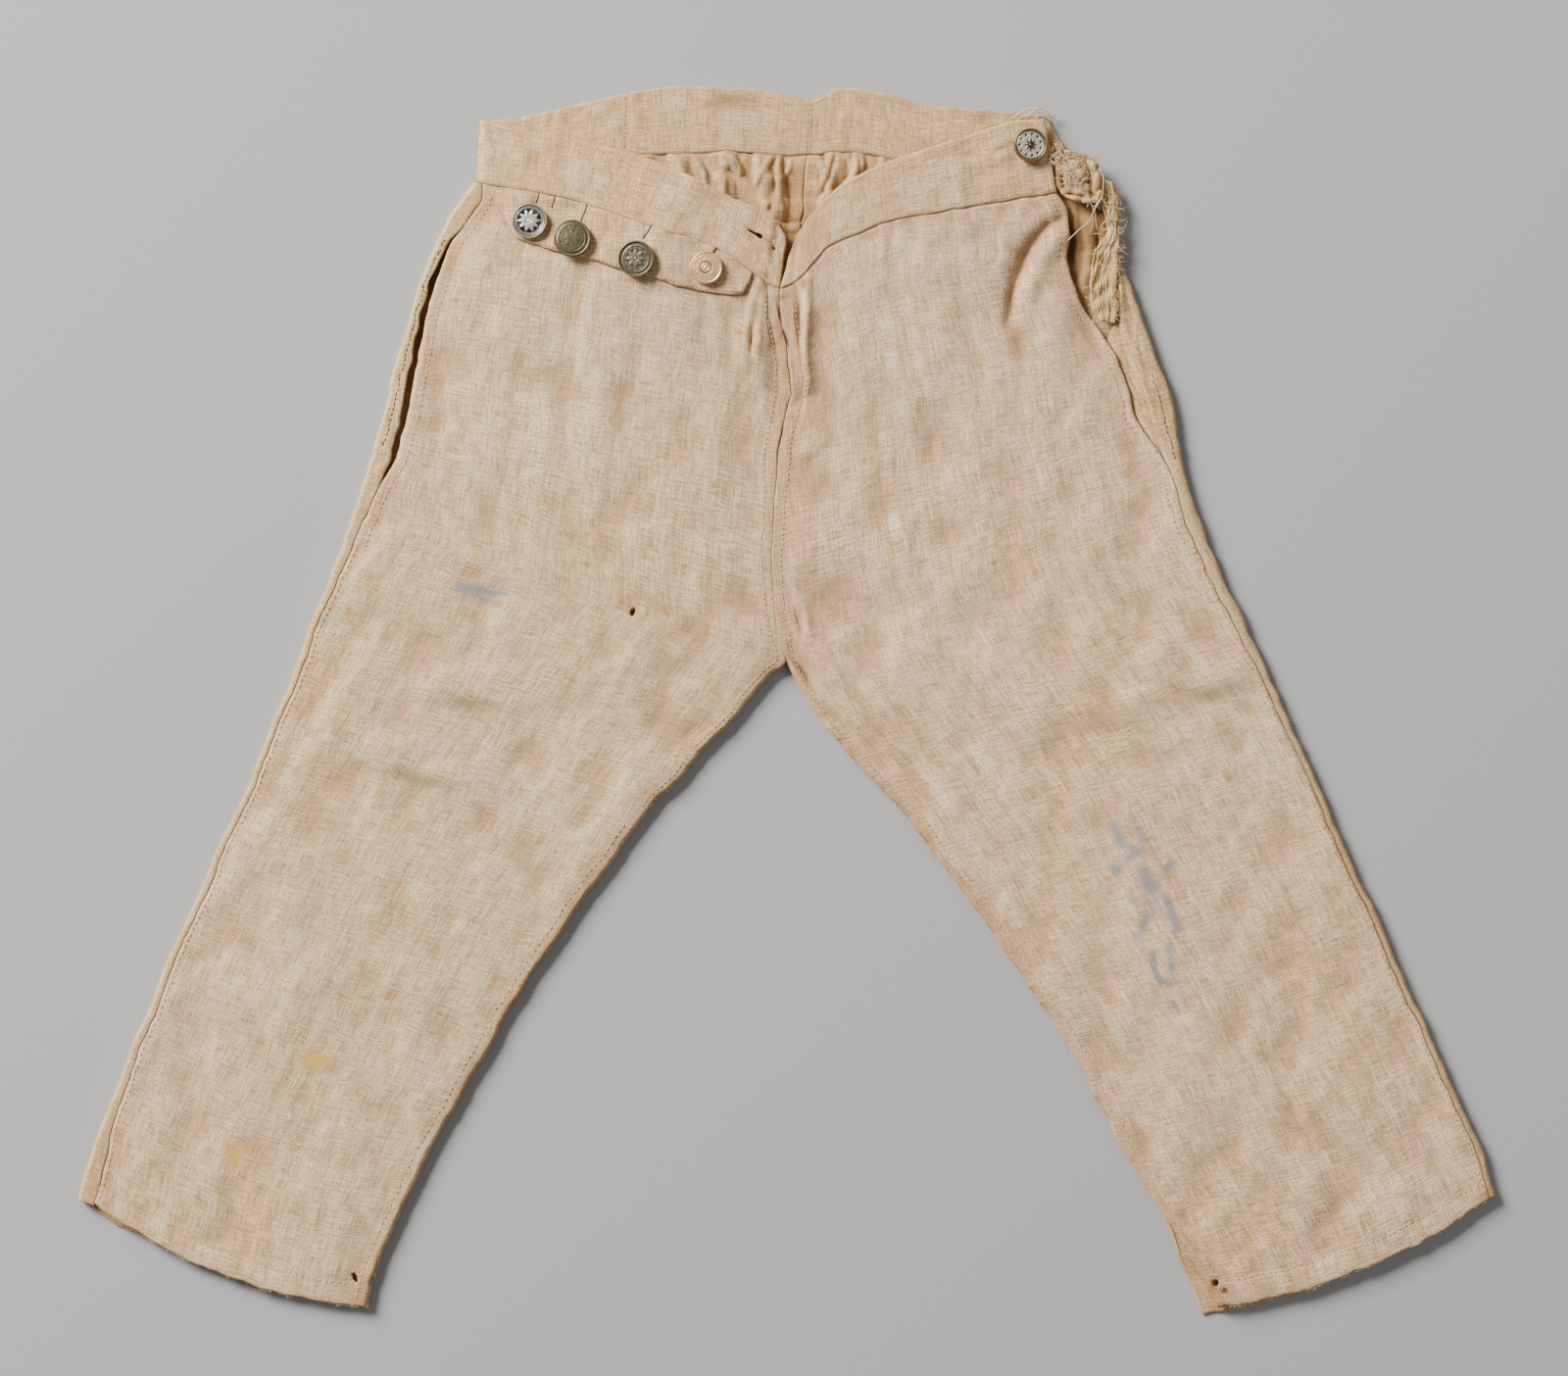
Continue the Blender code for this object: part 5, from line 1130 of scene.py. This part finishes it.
def buttonStrip():
    # The strip in the panel's own row and column numbers, so that it bends as the panel does, raised
    # by half of each cloth and a small gap.
    top = np.stack(gridPlace(frontLeft["grid"], stripOutline["top"]), -1)
    bottom = np.stack(gridPlace(frontLeft["grid"], stripOutline["bottom"]), -1)
    places = shareAlong(np.array(stripOutline["bottom"]))
    shares = spacedLine(1.0, gridStep * 0.7 / 120, ((0, 0.04, 0.004), (0.96, 1.0, 0.004)))
    line = lambda side: np.stack([smoothCurve(places, side[:, k], shares) for k in (0, 1)], -1)
    down = np.unique(np.concatenate([np.linspace(0, 1, 20),
        [0.02, 0.045, 0.955, 0.98]]))
    where = line(top)[:, None] + (line(bottom) - line(top))[:, None] * down[None, :, None]
    base = onGrid(frontLeft["grid"], where[..., 0], where[..., 1])
    up = onGrid(frontLeft["up"], where[..., 0], where[..., 1])
    x, y = base[..., 0], base[..., 1]
    calm = np.sin(np.pi * np.clip(shares, 0.0, 1))[:, None] ** 0.3 * np.sin(np.pi * down)[None] ** 0.4
    pucker = 0.16 * np.sin(x / 1.9 + np.sin(x / 7)) * bump(down - 0.9, 0.14)[None]
    lift = 1.42 + np.maximum(softWaves(x, y, 31, 14, 0.2) + softWaves(x, y, 33, 6, 0.1)
        + foldsAt(stripFolds, x, y), -0.3) * calm
    lift = lift + pucker + 0.22 * bump(down - 0.93, 0.07)[None] - 0.3 * (1 - calm)
    grid = base + up * lift[..., None]
    uv = np.stack([x, y], -1)
    soilAndShade = 0.35 * np.exp(-(1 - down) / 0.05)[None] + 0.25 * np.exp(-down / 0.05)[None] + 0 * x
    seats = sum(bump(np.hypot(x - b["x"], y - b["y"]), b["wide"] * 0.62) for b in buttonTable.values())
    piece = shellMesh("buttonholeStrip", grid, cloth["stripThickness"], linenBand, uv,
        marksAt(x, y, soilAndShade + 0.3 * seats))
    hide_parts("button_strip")
    normal = gridNormals(grid)
    return {"piece": piece, "grid": grid, "up": normal * np.sign(normal[10, 5, 2]),
        "half": cloth["stripThickness"] / 2}


strip = buttonStrip()


def seatAt(surface, x, y):
    # Height and tilt of a surface at a place: a plane through its nearby points by least squares.
    points = surface["grid"].reshape(-1, 3)
    away = np.hypot(points[:, 0] - x, points[:, 1] - y)
    weight = np.exp(-(away / 6.0) ** 2)
    base = np.stack([points[:, 0] - x, points[:, 1] - y, np.ones(len(points))], -1)
    slope = np.linalg.lstsq(base * weight[:, None], points[:, 2] * weight, rcond=None)[0]
    return slope[2], unit(np.array([-slope[0], -slope[1], 1.0]))


def ornament(key, r, turn):
    # Relief in mm over the radius (0 to 1) and the turn: a shallow dome, a raised rim with a twisted
    # edge, a star of straight rays, a ring, a ring of dots and a centre dot; shine is high on relief.
    b = buttonTable[key]
    step = lambda at, soft: 1 / (1 + np.exp(-np.clip((at - r) / soft, -30, 30)))
    height = b["dome"] * np.sqrt(np.clip(1 - (r / 0.86) ** 2, 0, 1))
    rim = bump(r - 0.93, 0.075)
    height = height + b["rim"] * rim
    shine = b.get("base", 0.45) + 0.35 * rim
    if b["rope"]:
        rope = 0.5 + 0.5 * np.cos(b["rope"] * turn + r * 40)
        height = height - 0.16 * rope * bump(r - 0.85, 0.045)
        shine = shine - 0.4 * rope * bump(r - 0.85, 0.045)
    if b["rays"]:
        wave = np.abs(((turn * b["rays"] / (2 * np.pi)) % 1) * 2 - 1)
        edge = b["rayLow"] + (b["rayHigh"] - b["rayLow"]) * wave
        star = 1 / (1 + np.exp(-np.clip((edge - r) / 0.014, -30, 30)))
        inside = step(b["rayHigh"] + 0.03, 0.012)
        height = height + (0.3 * star - 0.26 * (inside - star) * inside) * b["starDepth"]
        shine = shine + b["starShine"] * star - 0.75 * b["starDepth"] * np.clip(inside - star, 0, 1)
    groove = bump(r - b["ring"], 0.09) if key == "pale" else 0 * r
    raised = bump(r - b["ring"], 0.03) * (key != "pale")
    height = height + 0.2 * raised - 0.16 * groove
    shine = shine + 0.25 * raised - 0.9 * groove - 0.7 * (key == "pale") * bump(r, 0.13)
    shine = shine - 0.55 * (key != "pale") * (bump(r - b["ring"] + 0.045, 0.025)
        + bump(r - b["ring"] - 0.045, 0.02))
    if b["dots"]:
        ringAt = 0.64 if key in ("band", "pale") else 0.62
        spin = ((turn * b["dots"] / (2 * np.pi)) % 1 - 0.5) * 2 * np.pi / b["dots"] * ringAt
        dot = np.clip(bump(np.hypot(spin, r - ringAt), 0.12 if key == "band" else 0.085) * 1.8, 0, 1)
        height = height - (0.22 if key == "band" else 0.1) * dot
        shine = shine - (1.1 if key == "band" else 0.35) * dot
    centre = bump(r, b["centre"])
    height = height - 0.14 * bump(r - b["centre"], 0.035) + 0.2 * centre
    return height, np.clip(shine - 0.35 * bump(r - b["centre"], 0.04) + 0.2 * centre, 0, 1)


def button(key, surface):
    # Rings of points from the middle of the face over the rim and under it to the shank's foot.
    b = buttonTable[key]
    radius = b["wide"] / 2
    height, upright = seatAt(surface, b["x"], b["y"])
    foot = np.array([b["x"], b["y"], height]) + upright * (surface["half"] + buttonBody["gap"])
    side = unit(np.cross(np.array([0.0, 1.0, 0.0]), upright))
    other = np.cross(upright, side)
    turn = np.arange(buttonBody["turns"]) * 2 * np.pi / buttonBody["turns"]
    r = np.linspace(0.012, 0.985, 60)
    relief, shine = ornament(key, r[:, None], turn[None])
    top = buttonBody["shankHeight"] + buttonBody["plate"]
    under = np.array(((1.0, top - 0.1), (1.0, top - 0.75), (0.94, buttonBody["shankHeight"]),
        (0.7, buttonBody["shankHeight"]), (0.34, buttonBody["shankHeight"]),
        (buttonBody["shank"] * 0.8 / radius, 0.6), (buttonBody["shank"] / radius, 0.0)))
    rings = np.concatenate([np.broadcast_to(r[:, None], relief.shape), np.broadcast_to(under[:, :1],
        (len(under), len(turn)))]) * radius
    levels = np.concatenate([relief + top, np.broadcast_to(under[:, 1:], (len(under), len(turn)))])
    around = np.cos(turn)[:, None] * side + np.sin(turn)[:, None] * other
    points = foot + rings[..., None] * around[None] + levels[..., None] * upright
    rows, cols = rings.shape
    index = np.arange(rows * cols).reshape(rows, cols)
    nxt = np.roll(index, -1, axis=1)
    faces = np.stack([index[:-1], index[1:], nxt[1:], nxt[:-1]], -1).reshape(-1, 4).tolist()
    faces += [index[0].tolist(), index[-1, ::-1].tolist()]
    marks = np.zeros((rows, cols, 4))
    marks[: len(r), :, 0] = shine
    marks[: len(r), :, 1] = b.get("brassRim", 0.0) * np.clip((r - b.get("rimFrom", 0.84)) / 0.03, 0,
        1)[:, None]
    marks[len(r):, :, 1] = b.get("brassRim", 0.0)
    marks[len(r):, :, 0] = 0.35
    bright, dull, rough, wear = b["material"]
    piece = putMesh("button" + key.capitalize(), points.reshape(-1, 3), faces,
        metalMaterial("metal" + key.capitalize(), bright, dull, rough, wear,
        b.get("rimTone", (168, 148, 104))), None, marks.reshape(-1, 4))
    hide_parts("button_" + key)


for key, surface, slot in (("star", strip, "metal_silver"), ("dark", strip, "metal_dark"),
        ("rimmed", strip, "metal_dark"), ("pale", strip, "metal_pale"),
        ("band", bandRight, "metal_brass")):
    button(key, surface)
print("bands, strip and buttons made")

# Columns: leftX, leftY, rightX, rightY, height, sag.
facingRows = np.array(((143.4, 234, 147, 232.5, 5.7, 0), (145, 224, 149, 222.5, 5.7, 0),
    (144.8, 214, 149.6, 212, 5.7, 0.1), (141.5, 206, 149.4, 204, 5.8, 0.3),
    (138, 199, 149, 197, 6, 0.5), (136.2, 188, 148.6, 187, 6, 0.6), (136.8, 178, 148.2, 177, 5.9, 0.5),
    (140.4, 171, 147.8, 169.6, 5.8, 0.3)))
bandEndRows = np.array(((121.6, 231, 119.9, 246.2, 6.6, 0), (124, 227.2, 123.2, 247.6, 6.8, 0.2),
    (129, 224.6, 128, 246.8, 7, 0.3), (134, 223.4, 134, 245.2, 7, 0.3), (138.6, 223.6, 138.4, 242.4,
    6.9, 0.2), (141.6, 227.6, 141, 237.6, 6.8, 0)))


# Columns: x1, y1, x2, y2, bow, height, half width.
scrapFolds = np.array(((134, 242, 136.8, 225.6, 1.2, -1.7, 1.9), (137.6, 241, 139.4, 227, 1, 1.4, 1.8),
    (124.4, 227.6, 133.8, 226.4, 0.4, -1.8, 1.3), (124, 225, 134, 224.6, 0, 0.8, 1.3),
    (126.5, 240, 132, 234, 1, 1.4, 3.6), (122, 244, 127, 242, 0, -0.9, 1.6),
    (123.4, 238, 125, 230, -0.6, -0.9, 1.8), (121.6, 236, 123, 230, 0, 0.8, 1.4),
    (129, 245, 133, 243, 0, 0.8, 1.6)))


def scrap(name, node, table, steps, thickness, crumple, material):
    # A loose scrap: smooth sections between its two edges, sagging in the middle and crumpled.
    places = np.arange(len(table), dtype=float)
    t = np.linspace(0, places[-1], int((len(table) - 1) * steps[0]) + 1)
    row = np.stack([smoothCurve(places, table[:, k], t) for k in range(6)], -1)
    shares = np.linspace(0, 1, steps[1])
    plan = row[:, None, 0:2] + (row[:, 2:4] - row[:, 0:2])[:, None] * shares[None, :, None]
    x, y = plan[..., 0], plan[..., 1]
    rag = np.sin(t * 9.0)[:, None] + np.sin(t * 23.0 + 1.0)[:, None]
    plan[..., 0] += rag * 0.22 * (2 * shares - 1)
    rng = np.random.default_rng(len(table) + 4)
    spread = np.array((x.min(), y.min())) + rng.uniform(0, 1, (30, 2)) * np.array((np.ptp(x),
        np.ptp(y)))
    lean = rng.normal(1.45, 0.25, 30) if crumple < 0.5 else rng.uniform(0, 3.14, 30)
    reach = rng.uniform(3, 9, 30)[:, None] * np.stack([np.cos(lean), np.sin(lean)], -1)
    wrinkles = np.concatenate([spread - reach / 2, spread + reach / 2, rng.normal(0, 0.8, (30, 1)),
        rng.uniform(-1, 1, (30, 1)) * crumple * 2, rng.uniform(0.9, 2.2, (30, 1))], axis=1)
    height = row[:, 4:5] - row[:, 5:6] * np.sin(np.pi * shares) + softWaves(x, y, 41, 7.0,
        crumple * 0.6)
    height = np.clip(height + foldsAt(np.concatenate([wrinkles[:12 if name == "tornBandEnd" else 30],
        scrapFolds]), x, y), row[:, 4:5] - 1.5, row[:, 4:5] + 1.5)
    grid = np.concatenate([plan, height[..., None]], -1)
    # The brown channel: some soil over all, and painted shade in the scrap's creases.
    marks = marksAt(x, y, 0.3 + np.clip(paintedCreaseShade(height, 3) * 1.6, -0.2, 1.0))
    piece = shellMesh(name, grid, thickness, material, plan.copy(), marks)
    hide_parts(node)
    normal = gridNormals(grid)
    return {"piece": piece, "grid": grid, "up": normal * np.sign(normal[3, 3, 2]), "half": thickness
        / 2}


facing = scrap("tornFacing", "torn_facing", facingRows, (9, 17), 0.9, 0.45, linenYellow)
scrap("tornBandEnd", "torn_band_end", bandEndRows, (8, 30), 1.5, 0.6, linenBack)


# Stitches, darns and loose threads.

def atShare(panel, down, inset, lift=0.05):
    # Points on a front panel at a distance down its outer edge and in from that edge, both in mm;
    # an inset below zero counts from the middle instead.
    wide = np.interp(down, panel["down"], panel["wide"])
    share = np.where(np.asarray(inset) < 0, 1 + inset / wide, inset / wide)
    row = np.interp(down, panel["down"], np.arange(len(panel["down"])))
    col = np.interp(share, panel["shares"], np.arange(len(panel["shares"])))
    return onGrid(panel["grid"], row, col) + onGrid(panel["up"], row, col) * (panel["half"] + lift)


def stitches(path, pitch=2.6, size=1.7, seed=1, arch=0.16, waver=0.15):
    # Short runs of thread along a path: four points each, arched, a little uneven in place and length.
    rng = np.random.default_rng(seed)
    run = np.concatenate([[0.0], np.cumsum(np.linalg.norm(np.diff(path, axis=0), axis=1))])
    count = max(int(run[-1] / pitch), 1)
    middle = (np.arange(count) + 0.5) * run[-1] / count + rng.uniform(-0.25, 0.25, count)
    half = size / 2 * rng.uniform(0.75, 1.15, count)
    at = middle[:, None] + half[:, None] * np.array((-1.0, -0.4, 0.4, 1.0))
    points = np.stack([np.interp(at, run, path[:, k]) for k in range(3)], -1)
    points[..., 2] += arch * np.array((-0.6, 1.0, 1.0, -0.6)) + 0.02
    points[..., 0] += rng.uniform(-waver, waver, count)[:, None]
    points[..., 1] += rng.uniform(-waver, waver, count)[:, None]
    return points


def threadPiece(name, groups, material):
    # Several groups of equal-length paths, each with its own radius and sides, in one piece.
    points, faces = joinParts([tubes(paths, radius, sides) for paths, radius, sides in groups])
    piece = putMesh(name, points, faces, material)


def panelStitches(panel, name, slitEnd):
    # Hem line, outer seam below the slit, the slit's own narrow hem, the inner leg and centre seams.
    length = panel["length"]
    span = lambda a, b: np.linspace(a, b, 160)
    across = span(2.5, float(panel["wide"][-1]) - 3)
    lines = ((np.full(160, length - 8.6), across, 2.8), (span(slitEnd, length - 3), np.full(160, 1.5),
        2.9), (span(4, slitEnd), np.full(160, 4.6), 2.6), (span(258, length - 3), np.full(160, -3.2),
        3.1), (span(6, 250), np.full(160, -1.4), 2.4))
    runs = [stitches(atShare(panel, down, inset), pitch, 1.5, k + 3) for k,
        (down, inset, pitch) in enumerate(lines)]
    threadPiece(name, [(np.concatenate(runs), 0.17, 4)], paleThread)


def edgePath(surface, offset, side):
    # A line along a band just inside its lower or upper edge.
    cols = surface["grid"].shape[1]
    col = offset if side == "lower" else cols - 1 - offset
    row = np.linspace(1.5, surface["grid"].shape[0] - 2.5, 300)
    return onGrid(surface["grid"], row, col) + onGrid(surface["up"], row, col) * (surface["half"] * 0.9)


def tangle(x, y, z, count, length, spread, seed, lean=(0.0, 0.0)):
    # Loose fibres: each a bent line of eight points from a seeded place near one point.
    rng = np.random.default_rng(seed)
    start = np.stack([rng.normal(x, spread[0], count), rng.normal(y, spread[1], count),
        np.full(count, z)], -1)
    angle = rng.uniform(0, 2 * np.pi, count)
    t = np.linspace(0, 1, 8)[None]
    long_ = (length * rng.uniform(0.5, 1.3, count))[:, None]
    bend = rng.normal(0, 1.6, count)[:, None]
    px = start[:, :1] + long_ * (np.cos(angle[:, None] + bend * t) * t + lean[0] * t)
    py = start[:, 1:2] + long_ * (np.sin(angle[:, None] + bend * t) * t + lean[1] * t)
    pz = start[:, 2:3] + rng.uniform(0.1, 0.9, count)[:, None] * np.sin(np.pi * t)
    return np.stack([px, py, pz], -1)


def fuzzAlong(path, count, length, seed, outward):
    # Fine hairs standing out of an edge at seeded places.
    rng = np.random.default_rng(seed)
    at = rng.uniform(0, len(path) - 1, count)
    base = np.stack([np.interp(at, np.arange(len(path)), path[:, k]) for k in range(3)], -1)
    t = np.linspace(0, 1, 4)[None]
    reach = (length * rng.uniform(0.3, 1.2, count))[:, None]
    turn = (outward + rng.normal(0, 0.9, count))[:, None]
    bend = rng.normal(0, 1.0, count)[:, None]
    points = np.stack([base[:, :1] + reach * t * np.cos(turn + bend * t), base[:, 1:2] + reach * t
        * np.sin(turn + bend * t), base[:, 2:3] + rng.uniform(-0.4, 0.6, count)[:, None] * t], -1)
    points[..., 2] = np.maximum(points[..., 2], 0.3)
    return points


def curvedThread(table, steps=40):
    # One loose thread through its table of places.
    table = np.array(table, float)
    places = np.concatenate([[0.0], np.cumsum(np.linalg.norm(np.diff(table, axis=0), axis=1))])
    at = np.linspace(0, places[-1], steps)
    return np.stack([smoothCurve(places, table[:, k], at) for k in range(3)], -1)[None]


panelStitches(frontLeft, "stitchesFrontLeft", 174.0)
panelStitches(frontRight, "stitchesFrontRight", 170.0)
bandRuns = [stitches(edgePath(band, offset, edge), 2.4, 1.4, seed) for band, offset, edge,
    seed in ((bandLeft, 3, "lower", 11), (bandLeft, 3, "upper", 12), (bandRight, 3, "lower", 13),
    (bandRight, 3, "upper", 14), (rearLeft, 4, "lower", 15), (rearRight, 4, "lower", 16),
    (rearLeft, 3, "upper", 17), (rearRight, 3, "upper", 18))]
threadPiece("stitchesWaistband", [(np.concatenate(bandRuns), 0.16, 4)], paleThread)


def joinStitches(surface, row, seed):
    # Small dark stitches across a band beside one of its joins.
    col = np.linspace(2, surface["grid"].shape[1] - 3, 60)
    up = onGrid(surface["up"], row + 0 * col, col)
    path = onGrid(surface["grid"], row + 0 * col, col) + up * np.sign(up[:, 2:]) * surface["half"]
    return stitches(path, 1.9, 1.0, seed, 0.06, 0.2)


threadPiece("stitchesJoins", [(joinStitches(rearLeft, 0.5, 24), 0.12, 4),
    (joinStitches(rearLeft, len(rearLeft["along"]) - 1.3, 25), 0.1, 4),
    (joinStitches(rearRight, len(rearRight["along"]) - 1.6, 26), 0.1, 4)], darkThread)
stripEdge = np.array(stripOutline["bottom"])
stripPath = layOn(strip, np.stack([np.interp(np.linspace(0.3, 9, 200), np.arange(10), stripEdge[:, 0]),
    np.interp(np.linspace(0.3, 9, 200), np.arange(10), stripEdge[:, 1]) + 1.3], -1), 0.02)
slitLines = (((550, 197), (548, 207)), ((566, 200), (564, 212)), ((599, 209), (594, 226)),
    ((665, 230), (657, 245)), ((732, 250), (727, 260)))


photoScale = {"pixel": 0.44, "middleX": 802.5, "middleY": 715.0}   # mm, and the tables' zero in pixels


def fromPhoto(points):
    # Photo pixels as table millimetres, up the page positive.
    points = np.array(points, float)
    return np.stack([points[..., 0] - photoScale["middleX"], photoScale["middleY"] - points[..., 1]],
        -1) * photoScale["pixel"]


slitPaths = np.stack([layOn(strip, fromPhoto(ends)[0] + (fromPhoto(ends)[1] - fromPhoto(ends)[0])
    * np.linspace(0, 1, 8)[:, None] + np.stack([0.3 * np.sin(np.linspace(0, 5, 8)),
    0 * np.linspace(0, 5, 8)], -1), 0.0) for ends in slitLines])
threadPiece("stitchesStrip", [(stitches(stripPath, 2.1, 1.3, 21), 0.17, 4)], paleThread)
# Dark thread along each buttonhole slit: the worked edge, and painted shade for the open slit, which is not
# cut in the strip.
threadPiece("buttonholeSlits", [(slitPaths, np.array((0.3, 0.36, 0.32, 0.38, 0.56))[:, None], 6)],
    darkThread)


def lipStitches(panel, first, last, col, seed):
    # Coarse dark hem stitches on the part of the back that folds over on to the front.
    row = np.linspace(*np.interp((first, last), panel["down"], np.arange(len(panel["down"]))), 120)
    up = onGrid(panel["up"], row, col)
    waver = np.stack([0.35 * np.sin(row * 1.3), 0 * row, 0 * row], -1)
    return stitches(onGrid(panel["grid"], row, col) + waver + up * np.sign(up[:, 2:])
        * (panel["half"] + 0.06), 2.3, 1.9, seed, 0.2, 0.25)


threadPiece("stitchesBackHems",
    [(np.concatenate([lipStitches(backLeft, 30, 128, 8.0, 31), lipStitches(backRight, 92, 132, 9.0,
    32)]), 0.19, 4)], darkThread)
print("stitches made")


def facingThreads():
    # Long frayed cords down the facing, fringe at its edges, and fibres on the torn band end.
    rng = np.random.default_rng(61)
    t = np.linspace(0, 1, 60)
    rows = facing["grid"].shape[0]
    cords = []
    for k in range(9):
        col = (0.4 + k * 0.62) / 9 * (facing["grid"].shape[1] - 1) + 0.7 * np.sin(t * rng.uniform(5, 16)
            + k)
        path = onGrid(facing["grid"], t * (rows - 1.01), np.clip(col, 0, facing["grid"].shape[1]
            - 1.01))
        path = path + np.array([0, 0, 0.55]) + np.stack([0.4 * np.sin(t * 21 + k), 0 * t,
            0.18 * np.sin(t * 33 + k * 2)], -1)
        cords.append(path)
    left, right = facing["grid"][:, 0], facing["grid"][:, -1]
    fringe = np.concatenate([fuzzAlong(right, 60, 4.0, 62, 0.3), fuzzAlong(left, 50, 3.4, 63, 3.4)])
    lift = np.array([0, 0, 0.2])
    ends = np.concatenate([tangle(129, 237, 8.3, 110, 3.6, (2.8, 2.6), 64), tangle(131, 243, 7.9, 26,
        3.4, (4.6, 1.6), 65), tangle(140, 226, 7.2, 12, 6.0, (1.6, 3.4), 66, (0.1, -0.8)),
        tangle(121, 246, 7.6, 26, 5.0, (2.0, 3.0), 67, (0.2, 0.2)), tangle(145, 214, 7.0, 16, 7.0,
        (1.8, 11), 68, (0.0, -0.6))])
    ends[..., 2] = np.clip(ends[..., 2], 6.4, 9.4)
    threadPiece("frayedFacing", [(np.stack(cords), 0.3, 6), (fringe + lift, 0.13, 3)],
        threadMaterial("yellowThread", (188, 156, 104), (222, 198, 148)))
    loose = [curvedThread(((140.4, 239, 8.2), (142.2, 234, 8.3), (141.8, 227.6, 8.2),
        (138.6, 221.2, 8.0), (135.6, 215.2, 7.8), (131.0, 211.2, 7.6), (126.4, 206.8, 7.1))),
        curvedThread(((101, 261.5, 3.4), (104, 263.6, 4.2), (108, 266.0, 4.6), (111.6, 266.2, 4.6),
        (113.6, 263.8, 4.4), (112.4, 261.8, 3.8))),
        curvedThread(((107, 260.8, 3.6), (110.5, 264.4, 4.8), (114, 266.4, 4.6), (117, 265.0, 4.4),
        (118.6, 263.0, 3.6), (121.0, 263.8, 3.0))), curvedThread(((104, 259.8, 3.2), (106, 262.6, 4.0),
        (109.5, 262.8, 4.4), (113.5, 264.9, 4.4), (116.5, 263.6, 4.2), (120.2, 261.8, 3.4))),
        curvedThread(((120.5, 250, 6.4), (122.6, 246.4, 7.4), (124.6, 243.8, 8.2), (127, 242.0, 8.3),
        (130.2, 241.2, 8.2), (132.4, 242.6, 8.1)))]
    threadPiece("looseThreads", [(np.concatenate(loose[:1] + loose[4:]), 0.25, 6),
        (np.concatenate(loose[1:4]), 0.36, 6), (ends, 0.15, 3)], paleThread)


facingThreads()


def legFuzz():
    # Worn hairs along the inner leg edges and the hems.
    groups = []
    for panel, outward, seed in ((frontLeft, -0.9, 71), (frontRight, 4.1, 72)):
        start = int(np.searchsorted(panel["down"], 190))
        groups.append(fuzzAlong(panel["grid"][start:, -5], 420, 1.6, seed, outward))
    for panel, outward, seed in ((frontLeft, 4.4, 73), (frontRight, -1.2, 74)):
        groups.append(fuzzAlong(panel["grid"][-1, 3:-9], 130, 1.3, seed, outward))
    threadPiece("edgeHairs", [(np.concatenate(groups), 0.07, 3)], paleThread)


def darn(panel, centre, size, turn, seed):
    # A small darn: wavy threads one way, then the other way over them.
    rng = np.random.default_rng(seed)
    t = np.linspace(-0.5, 0.5, 12)
    paths = []
    for k in range(12):
        across = (k % 6 - 2.5) / 5
        wave = 0.12 * np.sin(t * 16 + k)
        local = np.stack([t + wave, np.full(12, across) + rng.uniform(-0.06, 0.06)], -1) if k < 6 else \
            np.stack([np.full(12, across) + rng.uniform(-0.06, 0.06) + wave, t], -1)
        c, s = np.cos(turn), np.sin(turn)
        xy = np.array(centre) + size * np.stack([local[:, 0] * c - local[:, 1] * s, local[:, 0] * s
            + local[:, 1] * c], -1)
        paths.append(layOn(panel, xy, 0.02))
    return np.stack(paths)


legFuzz()
threadPiece("darns", [(np.concatenate([darn(frontLeft, (-222, -198), 8.0, 0.5, 81),
    darn(frontRight, (281, -240), 11.0, -0.4, 82)]), 0.15, 3)], paleThread)
print("loose threads made")

# Camera, light and floor.

view = {"x": -1.1, "y": 5.7, "height": 1800.0, "wide": 704.0, "sensor": 36.0,
        "keyPower": 482.0, "fillPower": 8.0, "world": 0.2, "floor": (166, 165, 164)}


def setStage():
    # A camera straight above, a soft key light from the upper left, a weaker fill, a plain floor.
    data = bpy.data.cameras.new("overhead")
    data.sensor_width = view["sensor"]
    data.lens = view["sensor"] * (view["height"] - 6.0) / view["wide"]
    camera = bpy.data.objects.new("overhead", data)
    camera.location = (view["x"] * mm, view["y"] * mm, view["height"] * mm)
    bpy.context.scene.collection.objects.link(camera)
    bpy.context.scene.camera = camera
    for name, place, power, size in (("keyLight", (-2.6, 2.3, 1.88), view["keyPower"], 1.6),
                                     ("fillLight", (1.6, -0.3, 1.7), view["fillPower"], 1.6)):
        lamp = bpy.data.lights.new(name, "AREA")
        lamp.energy = power
        lamp.size = size
        thing = bpy.data.objects.new(name, lamp)
        thing.location = place
        aim = unit(-np.array(place))
        thing.rotation_euler = (float(np.arccos(-aim[2])), 0.0, float(np.arctan2(aim[1], aim[0]) - np.pi
            / 2))
        bpy.context.scene.collection.objects.link(thing)
    world = bpy.data.worlds.new("studio")
    bpy.context.scene.world = world
    world.use_nodes = True
    world.node_tree.nodes["Background"].inputs["Color"].default_value = (1.0, 0.99, 0.97, 1.0)
    world.node_tree.nodes["Background"].inputs["Strength"].default_value = view["world"]
    mesh = bpy.data.meshes.new("floor")
    mesh.from_pydata([(-4, -4, -0.0002), (4, -4, -0.0002), (4, 4, -0.0002), (-4, 4, -0.0002)], [],
        [(0, 1, 2, 3)])
    floor = bpy.data.objects.new("floor", mesh)
    bpy.context.scene.collection.objects.link(floor)
    material, tree, shader = nodeTree("floorPaper")
    shader.inputs["Base Color"].default_value = srgb(*view["floor"]) + (1.0,)
    shader.inputs["Roughness"].default_value = 0.9
    mesh.materials.append(material)


setStage()
